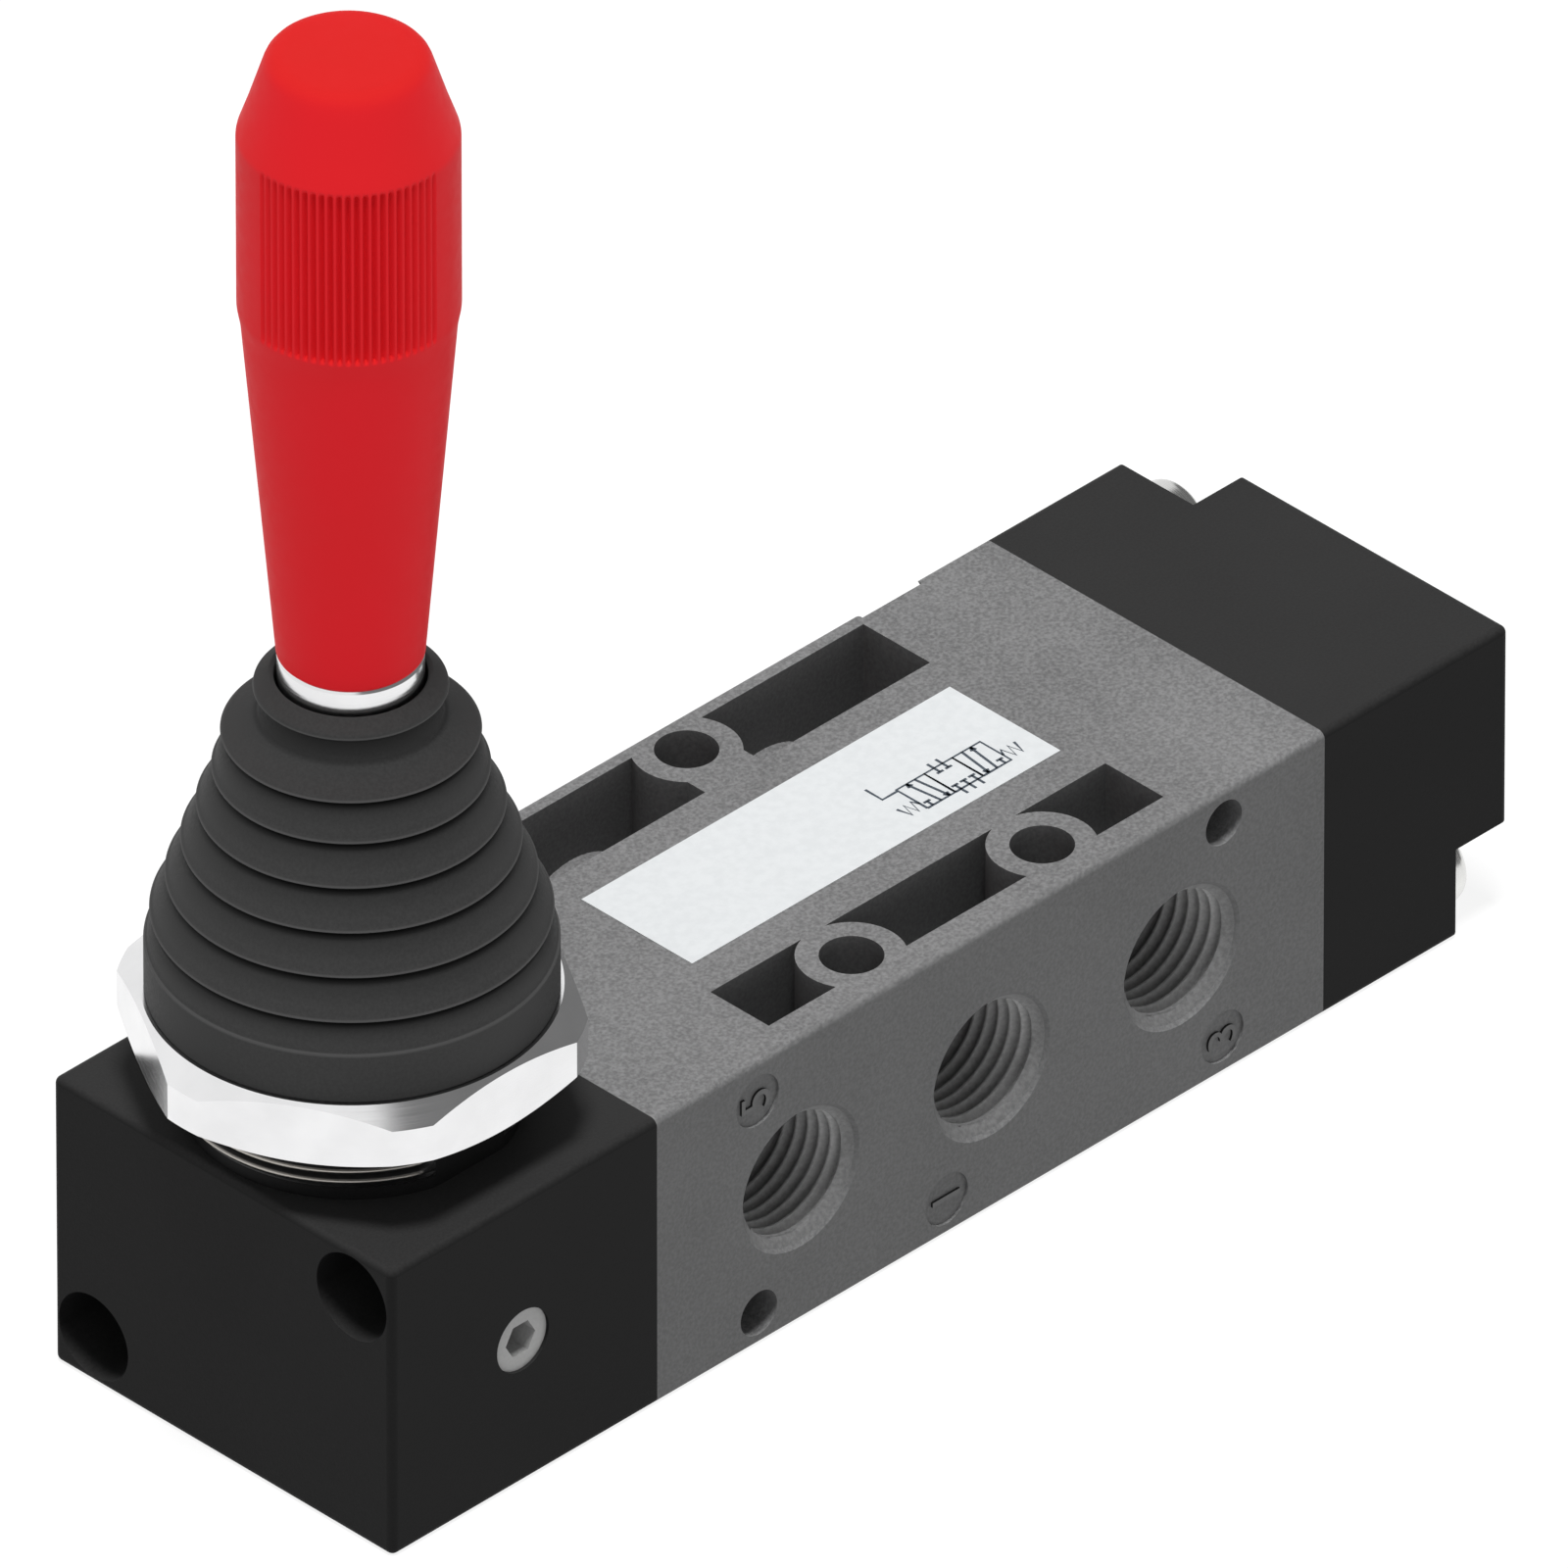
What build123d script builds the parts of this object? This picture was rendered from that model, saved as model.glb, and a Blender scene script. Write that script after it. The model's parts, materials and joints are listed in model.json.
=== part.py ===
from build123d import *
import os
from math import cos, pi, radians, sin, sqrt, tan

# Hand lever air valve, 5/3 closed centre, spring centred, G1/4 ports. All sizes in millimetres.
# X runs from the lever end to the rear end, Y from the side with ports 5, 1 and 3 to the side
# with ports 4 and 2, Z up. The origin is on the bottom face, under the middle port.

# Blocks that make the outside
FRONT_LENGTH = 31.0
BODY_LENGTH = 78.8
FLANGE_LENGTH = 15.8
BOSS_LENGTH = 6.2
BLOCK_WIDTH = 40.0
BLOCK_HEIGHT = 29.0
EDGE_ROUND = 0.7
CUT_PAST = 1.0

# Clearances
RUN_CLEAR = 0.05
FIT_CLEAR = 0.02
SCREW_CLEAR = 0.25
SOFT_CLEAR = 0.25
AXIAL_CLEAR = 0.3

# Lever and its motion
LEVER_FROM_FRONT = 15.3
PIVOT_HEIGHT = 35.0
LEVER_TILT = 11.2
PIVOT_BALL_RADIUS = 8.0
TAIL_BALL_RADIUS = 4.0
TAIL_ROD_RADIUS = 2.5
ROD_RADIUS = 4.0
STUD_RADIUS = 3.0
STUD_ENGAGED = 12.5
ROD_CHAMFER = 0.5

# Threaded neck under the boot
NECK_THREAD_RADIUS = 15.0
NECK_THREAD_DEPTH = 0.65
NECK_TOP = 45.0
NECK_FLAT_HALF = 13.8
SEAT_BORE_RADIUS = 11.0
SEAT_FLOOR = 26.5
SEAT_SPLIT_GAP = 0.6
UPPER_SEAT_TOP = 41.5
LOWER_SEAT_MOUTH = 5.5
UPPER_SEAT_MOUTH = 6.0
TAIL_PASSAGE_RADIUS = 6.5

# Circlip over the seats
CLIP_THICKNESS = 1.2
CLIP_GROOVE_DEPTH = 0.75
CLIP_BAND = 2.2
CLIP_GAP_ANGLE = 34.0
CLIP_EAR_RADIUS = 1.9
CLIP_EAR_HOLE = 0.8

# Panel nut
NUT_BOTTOM = 34.8
NUT_THICKNESS = 6.1
NUT_ACROSS_FLATS = 36.0
NUT_ROUND_RADIUS = 19.85
NUT_FACE_RADIUS = 17.6
NUT_CHAMFER_ANGLE = 30.0

# Boot, a thin bellows on the neck and the collar
BOOT_BAND_RADIUS = 17.3
BOOT_BAND_HEIGHT = 4.75
BOOT_WALL = 1.1
BOOT_PLEATS = 6
BOOT_FIRST_RIDGE_RADIUS = 16.8
BOOT_FIRST_RIDGE_RISE = 7.8
BOOT_RIDGE_STEP_IN = 1.3
BOOT_RIDGE_STEP_UP = 3.6
BOOT_TOP_RIDGE_RADIUS = 10.85
PLEAT_DEPTH = 1.0
PLEAT_UNDERCUT = 0.3
PLEAT_RIM_IN = 0.2
PLEAT_RIM_UP = 0.6
PLEAT_SHOULDER_OUT = 0.05
PLEAT_SHOULDER_DROP = 0.65
LIP_FOOT_RADIUS = 7.7
LIP_FOOT_RISE = 27.7
LIP_RADIUS = 8.15
LIP_TOP_RISE = 30.3
BOOT_TOP_RISE = 31.6

# Collar and knob on the lever
COLLAR_RADIUS = 6.15
COLLAR_BOTTOM = 67.5
COLLAR_TOP = 74.6
COLLAR_CHAMFER = 0.3
KNOB_HEIGHT = 60.0
KNOB_FOOT_RADIUS = 6.2
KNOB_SHANK_HEIGHT = 33.4
KNOB_SHANK_TOP_RADIUS = 9.0
GRIP_BOTTOM_RISE = 35.0
GRIP_TOP_RISE = 52.0
GRIP_RADIUS = 9.3
CROWN_EDGE_RISE = 54.6
CROWN_EDGE_RADIUS = 8.4
CROWN_TOP_RADIUS = 6.7
CROWN_ROUND = 0.8
FLUTE_PITCH_ANGLE = 4.5
FLUTES_PER_SIDE = 19
FLUTE_DEPTH = 0.22
FLUTE_WIDTH_SHARE = 0.62
FLUTE_FACING_ANGLE = 225.0
INSERT_RADIUS = 5.0
INSERT_LENGTH = 14.0
INSERT_GROOVE_DEPTH = 0.6
INSERT_GROOVE_WIDTH = 2.0

# Spool and its seal pack
PORT_SPACING = 11.25
BORE_RADIUS = 8.0
SPOOL_RADIUS = 5.0
SPOOL_GROOVE_RADIUS = 3.4
SPOOL_SIDE_GROOVE = 4.4
SPOOL_SIDE_GROOVE_SHIFT = 20.6
SPOOL_MID_GROOVE = 8.2
SEAL_WIDTH = 2.5
CAGE_INNER_RADIUS = 5.7
CAGE_HOLE_RADIUS = 2.4
FACE_SEAL_RADIUS = 9.7
FACE_SEAL_WIRE = 0.6
FACE_GROOVE_DEPTH = 1.2

# Slider that joins the lever's tail to the spool
SLIDER_RADIUS = 7.0
SLIDER_AHEAD = 8.5
SLIDER_BEHIND = 13.7
SLIDER_END_CHAMFER = 0.5
BALL_HOLE_CLEAR = 0.1
BALL_HOLE_FLOOR = 0.5
BALL_HOLE_MOUTH = 0.5
COUPLING_DEPTH = 7.5
COUPLING_PIN_RADIUS = 1.5
COUPLING_PIN_SETBACK = 3.7
COUPLING_PIN_SHORT = 0.4
FRONT_WALL = 2.0

# Grub screw whose dog point keeps the slider from turning
GUIDE_SCREW_RADIUS = 3.0
GUIDE_SCREW_RECESS = 0.3
GUIDE_SCREW_TIP_FROM_BORE = 1.0
GUIDE_DOG_RADIUS = 1.95
GUIDE_SLOT_DEPTH = 1.8
GUIDE_SLOT_CLEAR = 0.15
GUIDE_DOG_TIP_GAP = 0.2
GUIDE_SOCKET_ACROSS = 3.0
GUIDE_SOCKET_DEPTH = 2.5

# Spring chamber in the rear cap
CHAMBER_RADIUS = 6.5
CHAMBER_END_WALL = 3.0
SPOOL_END_SETBACK = 5.0
TAIL_RADIUS = 2.5
TAIL_STUD_RADIUS = 2.0
PLATE_RADIUS = 6.1
PLATE_THICKNESS = 2.0
TAIL_NUT_ACROSS = 7.0
TAIL_NUT_THICKNESS = 2.2
TAIL_STUD_PROUD = 0.3
SPRING_MEAN_RADIUS = 5.35
SPRING_WIRE = 0.9
SPRING_TURNS = 4.0

# Ports G1/4, left at the thread's major diameter
THREAD_RADIUS = 6.58
THREAD_DEPTH = 11.0
MOUTH_RADIUS = 6.9
PORT_PASSAGE_RADIUS = 3.5

# Mounting holes
TOP_HOLE_RADIUS = 2.75
TOP_NEAR_FROM_SIDE = 5.3
TOP_FAR_FROM_SIDE = 4.0
SIDE_HOLE_RADIUS = 2.15
SIDE_HOLE_FROM_MIDDLE = 27.45
SIDE_HOLE_RISE = 11.25
SIDE_SPOT_RADIUS = 4.8
SIDE_SPOT_DEPTH = 0.88

# Round recesses that the cast port numbers stand in, placed along and up from each port
MARK_RADIUS = 2.5
MARK_DEPTH = 0.25
MARK_SHIFTS = {"5": (-5.1, 10.5), "4": (-5.1, 10.4), "1": (-5.3, -10.8), "2": (-5.1, 10.4),
               "3": (4.9, -10.65)}

# Weight saving pockets
POCKET_LENGTH = 46.6
POCKET_DEPTH = 10.5
NEAR_POCKET_FROM_SIDE = 3.0
NEAR_POCKET_WIDTH = 6.85
FAR_POCKET_FROM_SIDE = 1.6
FAR_POCKET_WIDTH = 7.9
FAR_POCKET_WEB = 6.6
HOLE_BOSS_RADIUS = 4.75
PORT_BOSS_RADIUS = 7.6

# Label plate
LABEL_LENGTH = 43.5
LABEL_WIDTH = 13.1
LABEL_THICKNESS = 0.3
LABEL_PROUD = 0.05
LABEL_OFF_X = 0.2
LABEL_OFF_Y = 0.3

# M4 screws at the front, in deep counterbores, and at the rear, in corner notches
M4_RADIUS = 2.0
SCREW_INSET = 4.7
CAP_HEAD_RADIUS = 3.5
CAP_HEAD_HEIGHT = 4.0
CAP_SOCKET_ACROSS = 3.0
CAP_SOCKET_DEPTH = 2.0
COUNTERBORE_RADIUS = 4.1
COUNTERBORE_DEPTH = 14.0
FRONT_SCREW_GRIP = 8.6
REAR_SCREW_GRIP = 9.0
HOLE_PAST_TIP = 0.4
PAN_HEAD_RADIUS = 3.9
PAN_HEAD_HEIGHT = 2.7
PAN_HEAD_ROUND = 1.0
PAN_RECESS_RADIUS = 1.9
PAN_RECESS_WIDTH = 0.9
PAN_RECESS_DEPTH = 1.5
NOTCH_WIDTH = 8.9
NOTCH_HEIGHT = 9.1

# Stations worked out from the sizes above
X_BODY_MIDDLE = 0.0
X_FRONT_SEAM = X_BODY_MIDDLE - BODY_LENGTH / 2
X_REAR_SEAM = X_BODY_MIDDLE + BODY_LENGTH / 2
X_FRONT = X_FRONT_SEAM - FRONT_LENGTH
X_FLANGE_END = X_REAR_SEAM + FLANGE_LENGTH
X_REAR = X_FLANGE_END + BOSS_LENGTH
X_LEVER = X_FRONT + LEVER_FROM_FRONT
Y_NEAR = -BLOCK_WIDTH / 2
Y_FAR = BLOCK_WIDTH / 2
AXIS_Z = BLOCK_HEIGHT / 2
LEVER_ARM = PIVOT_HEIGHT - AXIS_Z
SPOOL_TRAVEL = LEVER_ARM * radians(LEVER_TILT)
NECK_CORE_RADIUS = NECK_THREAD_RADIUS - NECK_THREAD_DEPTH
X_SLIDER_FRONT = X_LEVER - SLIDER_AHEAD
X_SLIDER_REAR = X_LEVER + SLIDER_BEHIND
X_SPOOL_FRONT = X_SLIDER_REAR - COUPLING_DEPTH + FIT_CLEAR
X_COUPLING_PIN = X_SLIDER_REAR - COUPLING_PIN_SETBACK
X_CHAMBER_END = X_REAR - CHAMBER_END_WALL
X_PLATE = (X_REAR_SEAM + X_CHAMBER_END) / 2
BOOT_BOTTOM = NUT_BOTTOM + NUT_THICKNESS
LABEL_BOTTOM = BLOCK_HEIGHT + LABEL_PROUD - LABEL_THICKNESS

BASE = (Align.CENTER, Align.CENTER, Align.MIN)
ROWS = (-1, 1)
PORTS = {"5": (-2, -1), "4": (-1, 1), "1": (0, -1), "2": (1, 1), "3": (2, -1)}
PACK_HALF = len(PORTS) / 2 * PORT_SPACING + SEAL_WIDTH / 2


def rod_x(radius, x_from, x_to, y=0.0, z=AXIS_Z):
    """Cylinder along X between two stations."""
    return Pos(x_from, y, z) * Rot(0, 90, 0) * Cylinder(radius, x_to - x_from, align=BASE)


def rod_y(radius, y_from, y_to, x=0.0, z=AXIS_Z):
    """Cylinder along Y between two stations."""
    return Pos(x, y_from, z) * Rot(-90, 0, 0) * Cylinder(radius, y_to - y_from, align=BASE)


def rod_z(radius, z_from, z_to, x=0.0, y=0.0):
    """Cylinder along Z between two heights."""
    return Pos(x, y, z_from) * Cylinder(radius, z_to - z_from, align=BASE)


def slab(x_from, x_to, y_from, y_to, z_from, z_to):
    """Box between two corners."""
    size = Box(x_to - x_from, y_to - y_from, z_to - z_from, align=(Align.MIN, Align.MIN, Align.MIN))
    return Pos(x_from, y_from, z_from) * size


def hex_x(across, x_from, x_to, y, z):
    """Hexagonal prism along X."""
    prism = extrude(RegularPolygon(across / 2, 6, major_radius=False), x_to - x_from)
    return Pos(x_from, y, z) * Rot(0, 90, 0) * prism


def hex_y(across, y_from, y_to, x, z):
    """Hexagonal prism along Y."""
    prism = extrude(RegularPolygon(across / 2, 6, major_radius=False), y_to - y_from)
    return Pos(x, y_from, z) * Rot(-90, 0, 0) * prism


def turned(points, x=0.0, y=0.0):
    """Solid of revolution about a vertical axis from (radius, height) points."""
    outline = make_face(Polyline(*[(r, 0, z) for r, z in points], close=True))
    return Pos(x, y, 0) * revolve(outline, Axis.Z)


def port_x(step):
    """Station of a port, counted in pitches from the middle one."""
    return X_BODY_MIDDLE + step * PORT_SPACING


def rounded_block(x_from, x_to, round_front, round_rear):
    """Block of the valve's section with rounded long edges and, where asked, rounded ends."""
    block = slab(x_from, x_to, Y_NEAR, Y_FAR, 0, BLOCK_HEIGHT)
    edges = block.edges().filter_by(Axis.X)
    if round_front:
        edges = edges + block.faces().sort_by(Axis.X)[0].edges()
    if round_rear:
        edges = edges + block.faces().sort_by(Axis.X)[-1].edges()
    return fillet(edges, EDGE_ROUND)


def front_screw_places():
    """Y and Z of the two front screws, high on the near side and low on the far side."""
    return [(Y_NEAR + SCREW_INSET, BLOCK_HEIGHT - SCREW_INSET), (Y_FAR - SCREW_INSET, SCREW_INSET)]


def rear_screw_places():
    """Y and Z of the two rear screws, low on the near side and high on the far side."""
    return [(Y_NEAR + SCREW_INSET, SCREW_INSET), (Y_FAR - SCREW_INSET, BLOCK_HEIGHT - SCREW_INSET)]


def top_hole_places():
    """X and Y of the three vertical mounting holes."""
    near_y = Y_NEAR + TOP_NEAR_FROM_SIDE
    far_y = Y_FAR - TOP_FAR_FROM_SIDE
    return [(port_x(-1), near_y), (port_x(1), near_y), (port_x(0), far_y)]


def side_hole_places():
    """X and Z of the two mounting holes that cross the body from side to side."""
    low = (X_BODY_MIDDLE - SIDE_HOLE_FROM_MIDDLE, AXIS_Z - SIDE_HOLE_RISE)
    high = (X_BODY_MIDDLE + SIDE_HOLE_FROM_MIDDLE, AXIS_Z + SIDE_HOLE_RISE)
    return [low, high]


def pocket_outline():
    """Plan of the weight saving pockets of one face, cut back round the hole bosses."""
    near_y = Y_NEAR + NEAR_POCKET_FROM_SIDE + NEAR_POCKET_WIDTH / 2
    far_y = Y_FAR - FAR_POCKET_FROM_SIDE - FAR_POCKET_WIDTH / 2
    plan = Pos(X_BODY_MIDDLE, near_y) * Rectangle(POCKET_LENGTH, NEAR_POCKET_WIDTH)
    plan += Pos(X_BODY_MIDDLE, far_y) * Rectangle(POCKET_LENGTH, FAR_POCKET_WIDTH)
    plan -= Pos(X_BODY_MIDDLE, far_y) * Rectangle(FAR_POCKET_WEB, FAR_POCKET_WIDTH)
    for x, y in top_hole_places():
        plan -= Pos(x, y) * Circle(HOLE_BOSS_RADIUS)
    return plan


def pockets():
    """Pocket solids of the top and the bottom face, less the port bosses that stay standing."""
    plan = pocket_outline()
    top = Pos(0, 0, BLOCK_HEIGHT - POCKET_DEPTH) * extrude(plan, POCKET_DEPTH)
    bottom = extrude(plan, POCKET_DEPTH)
    cuts = top + bottom
    for step, side in PORTS.values():
        cuts -= rod_y(PORT_BOSS_RADIUS, min(0, side * Y_FAR), max(0, side * Y_FAR), port_x(step))
    return cuts


def port_cut(step, side):
    """Countersunk mouth, thread hole and passage of one port, in to the spool bore."""
    x = port_x(step)
    face = side * Y_FAR
    flare = Cone(MOUTH_RADIUS, THREAD_RADIUS, MOUTH_RADIUS - THREAD_RADIUS, align=BASE)
    cut = Pos(x, face, AXIS_Z) * Rot(side * 90, 0, 0) * flare
    for radius, depth in [(THREAD_RADIUS, THREAD_DEPTH), (PORT_PASSAGE_RADIUS, BLOCK_WIDTH / 2)]:
        inner = face - side * depth
        cut += rod_y(radius, min(face, inner), max(face, inner), x)
    return cut


def mark_recess(name):
    """Shallow round recess beside a port for its cast number."""
    step, side = PORTS[name]
    along, rise = MARK_SHIFTS[name]
    face = side * Y_FAR
    floor = face - side * MARK_DEPTH
    return rod_y(MARK_RADIUS, min(face, floor), max(face, floor), port_x(step) + along, AXIS_Z + rise)


def face_groove(x_from, x_to):
    """Ring groove for a face seal round the spool bore."""
    wide = FACE_SEAL_WIRE + AXIAL_CLEAR / 2
    outer = rod_x(FACE_SEAL_RADIUS + wide, x_from, x_to)
    return outer - rod_x(FACE_SEAL_RADIUS - wide, x_from, x_to)


def make_valve_body():
    """Cast body with the spool bore, five ports, pockets and mounting holes."""
    body = rounded_block(X_FRONT_SEAM, X_REAR_SEAM, False, False)
    body -= pockets()
    body -= rod_x(BORE_RADIUS, X_FRONT_SEAM, X_REAR_SEAM)
    for name, (step, side) in PORTS.items():
        body -= port_cut(step, side)
        body -= mark_recess(name)
    for x, y in top_hole_places():
        body -= rod_z(TOP_HOLE_RADIUS, 0, BLOCK_HEIGHT, x, y)
    for x, z in side_hole_places():
        body -= rod_y(SIDE_HOLE_RADIUS, Y_NEAR, Y_FAR, x, z)
        body -= rod_y(SIDE_SPOT_RADIUS, Y_FAR - SIDE_SPOT_DEPTH, Y_FAR, x, z)
    tip = X_FRONT_SEAM + FRONT_SCREW_GRIP + HOLE_PAST_TIP
    for y, z in front_screw_places():
        body -= rod_x(M4_RADIUS + FIT_CLEAR, X_FRONT_SEAM, tip, y, z)
    tip = X_REAR_SEAM - REAR_SCREW_GRIP - HOLE_PAST_TIP
    for y, z in rear_screw_places():
        body -= rod_x(M4_RADIUS + FIT_CLEAR, tip, X_REAR_SEAM, y, z)
    body -= face_groove(X_FRONT_SEAM, X_FRONT_SEAM + FACE_GROOVE_DEPTH)
    body -= face_groove(X_REAR_SEAM - FACE_GROOVE_DEPTH, X_REAR_SEAM)
    label_x = X_BODY_MIDDLE + LABEL_OFF_X
    recess = Pos(label_x, LABEL_OFF_Y, LABEL_BOTTOM) * Box(LABEL_LENGTH, LABEL_WIDTH, CUT_PAST, align=BASE)
    return body - recess


def make_neck():
    """Threaded neck left at its core size, with two flats across the valve."""
    neck = rod_z(NECK_CORE_RADIUS, AXIS_Z, NECK_TOP, X_LEVER)
    half = NECK_CORE_RADIUS + CUT_PAST
    keep = slab(X_LEVER - half, X_LEVER + half, -NECK_FLAT_HALF, NECK_FLAT_HALF, 0, NECK_TOP)
    return neck & keep


def clip_groove():
    """Groove for the circlip over the upper seat."""
    outer = SEAT_BORE_RADIUS + CLIP_GROOVE_DEPTH
    return rod_z(outer, UPPER_SEAT_TOP, UPPER_SEAT_TOP + CLIP_THICKNESS, X_LEVER)


def make_lever_housing():
    """Front block with the threaded neck, the ball cavity and the slider bore."""
    block = rounded_block(X_FRONT, X_FRONT_SEAM, True, False)
    block += make_neck()
    block -= rod_x(SLIDER_RADIUS + RUN_CLEAR, X_FRONT + FRONT_WALL, X_FRONT_SEAM)
    block -= rod_z(TAIL_PASSAGE_RADIUS, AXIS_Z, SEAT_FLOOR, X_LEVER)
    block -= rod_z(SEAT_BORE_RADIUS, SEAT_FLOOR, NECK_TOP, X_LEVER)
    block -= clip_groove()
    for y, z in front_screw_places():
        block -= rod_x(COUNTERBORE_RADIUS, X_FRONT, X_FRONT + COUNTERBORE_DEPTH, y, z)
        block -= rod_x(M4_RADIUS + SCREW_CLEAR, X_FRONT, X_FRONT_SEAM, y, z)
    block -= rod_y(GUIDE_SCREW_RADIUS + FIT_CLEAR, Y_NEAR, -SLIDER_RADIUS + CUT_PAST, X_LEVER)
    return block


def make_seat(floor, top, mouth_at_bottom, mouth_radius):
    """Ring with a ball socket, split at the pivot height."""
    ring = rod_z(SEAT_BORE_RADIUS - FIT_CLEAR, floor, top, X_LEVER)
    ring -= Pos(X_LEVER, 0, PIVOT_HEIGHT) * Sphere(PIVOT_BALL_RADIUS + RUN_CLEAR)
    ring -= rod_z(mouth_radius, floor, top, X_LEVER)
    flare = mouth_radius + (top - floor) / 2 * tan(radians(LEVER_TILT))
    middle = (floor + top) / 2
    if mouth_at_bottom:
        cone = Cone(flare, mouth_radius, middle - floor, align=BASE)
        return ring - Pos(X_LEVER, 0, floor) * cone
    cone = Cone(mouth_radius, flare, top - middle, align=BASE)
    return ring - Pos(X_LEVER, 0, middle) * cone


def make_circlip():
    """Internal circlip with two ears that take pliers."""
    top = UPPER_SEAT_TOP + CLIP_THICKNESS
    outer = SEAT_BORE_RADIUS + CLIP_GROOVE_DEPTH - FIT_CLEAR
    inner = outer - CLIP_BAND
    ring = rod_z(outer, UPPER_SEAT_TOP, top) - rod_z(inner, UPPER_SEAT_TOP, top)
    half = radians(CLIP_GAP_ANGLE / 2)
    reach = 2 * outer
    corner = (reach * cos(half), reach * sin(half))
    gap = Polyline((0, 0), corner, (corner[0], -corner[1]), close=True)
    ring -= Pos(0, 0, UPPER_SEAT_TOP) * extrude(make_face(gap), CLIP_THICKNESS)
    ear_at = inner - CLIP_EAR_RADIUS / 2 + CLIP_BAND / 4
    for side in ROWS:
        turn = side * (half + CLIP_EAR_RADIUS / ear_at)
        x = ear_at * cos(turn)
        y = ear_at * sin(turn)
        ring += rod_z(CLIP_EAR_RADIUS, UPPER_SEAT_TOP, top, x, y)
        ring -= rod_z(CLIP_EAR_HOLE, UPPER_SEAT_TOP, top, x, y)
    return Pos(X_LEVER, 0, 0) * ring


def make_panel_nut():
    """Thin hexagon nut with both faces chamfered."""
    top = NUT_BOTTOM + NUT_THICKNESS
    hexagon = RegularPolygon(NUT_ACROSS_FLATS / 2, 6, major_radius=False)
    blank = Pos(X_LEVER, 0, NUT_BOTTOM) * extrude(hexagon, NUT_THICKNESS)
    fall = (NUT_ROUND_RADIUS - NUT_FACE_RADIUS) * tan(radians(NUT_CHAMFER_ANGLE))
    points = [(0, NUT_BOTTOM), (NUT_FACE_RADIUS, NUT_BOTTOM), (NUT_ROUND_RADIUS, NUT_BOTTOM + fall)]
    points += [(NUT_ROUND_RADIUS, top - fall), (NUT_FACE_RADIUS, top), (0, top)]
    nut = blank & turned(points, X_LEVER)
    return nut - rod_z(NECK_CORE_RADIUS + FIT_CLEAR, NUT_BOTTOM, top, X_LEVER)


def boot_ridges():
    """Radius and height of each pleat's ridge, from the band up to the lip."""
    foot = BOOT_BOTTOM + BOOT_FIRST_RIDGE_RISE
    ridges = []
    for index in range(BOOT_PLEATS):
        radius = BOOT_FIRST_RIDGE_RADIUS - index * BOOT_RIDGE_STEP_IN
        ridges.append((max(radius, BOOT_TOP_RIDGE_RADIUS), foot + index * BOOT_RIDGE_STEP_UP))
    return ridges


def make_boot():
    """Rubber bellows: a band on the neck, overlapping pleats and a lip round the collar."""
    grip = COLLAR_RADIUS + SOFT_CLEAR
    outer = [(BOOT_BAND_RADIUS, BOOT_BOTTOM), (BOOT_BAND_RADIUS, BOOT_BOTTOM + BOOT_BAND_HEIGHT)]
    for radius, height in boot_ridges():
        outer.append((radius + PLEAT_SHOULDER_OUT, height - PLEAT_SHOULDER_DROP))
        outer.append((radius - PLEAT_DEPTH, height - PLEAT_UNDERCUT))
        outer.append((radius, height))
        outer.append((radius - PLEAT_RIM_IN, height + PLEAT_RIM_UP))
    outer.append((LIP_FOOT_RADIUS, BOOT_BOTTOM + LIP_FOOT_RISE))
    outer.append((LIP_RADIUS, BOOT_BOTTOM + LIP_TOP_RISE))
    outer.append((grip + BOOT_WALL / 4, BOOT_BOTTOM + BOOT_TOP_RISE))
    inner = [(NECK_CORE_RADIUS + FIT_CLEAR, BOOT_BOTTOM)]
    inner.append((NECK_CORE_RADIUS + FIT_CLEAR, BOOT_BOTTOM + BOOT_BAND_HEIGHT))
    for radius, height in boot_ridges():
        inner.append((radius - PLEAT_DEPTH - BOOT_WALL, height - PLEAT_UNDERCUT + BOOT_WALL / 4))
        inner.append((radius - BOOT_WALL, height + BOOT_WALL / 4))
    inner.append((grip, BOOT_BOTTOM + LIP_FOOT_RISE))
    inner.append((grip, BOOT_BOTTOM + BOOT_TOP_RISE))
    return turned(outer + inner[::-1], X_LEVER)


def make_lever_shaft():
    """Turned lever: tail ball, pivot ball, rod and the stud that takes the knob."""
    stud_top = COLLAR_TOP + STUD_ENGAGED
    shaft = rod_z(TAIL_ROD_RADIUS, AXIS_Z, PIVOT_HEIGHT)
    shaft += Pos(0, 0, AXIS_Z) * Sphere(TAIL_BALL_RADIUS)
    shaft += Pos(0, 0, PIVOT_HEIGHT) * Sphere(PIVOT_BALL_RADIUS)
    shaft += rod_z(ROD_RADIUS, PIVOT_HEIGHT, COLLAR_TOP)
    stud = rod_z(STUD_RADIUS, COLLAR_TOP, stud_top)
    shaft += chamfer(stud.edges().group_by(Axis.Z)[-1], ROD_CHAMFER)
    return Pos(X_LEVER, 0, 0) * shaft


def make_lever_collar():
    """Bright round collar between the boot and the knob."""
    collar = rod_z(COLLAR_RADIUS, COLLAR_BOTTOM, COLLAR_TOP, X_LEVER)
    collar = chamfer(collar.edges().filter_by(GeomType.CIRCLE), COLLAR_CHAMFER)
    return collar - rod_z(ROD_RADIUS + FIT_CLEAR, COLLAR_BOTTOM, COLLAR_TOP, X_LEVER)


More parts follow.
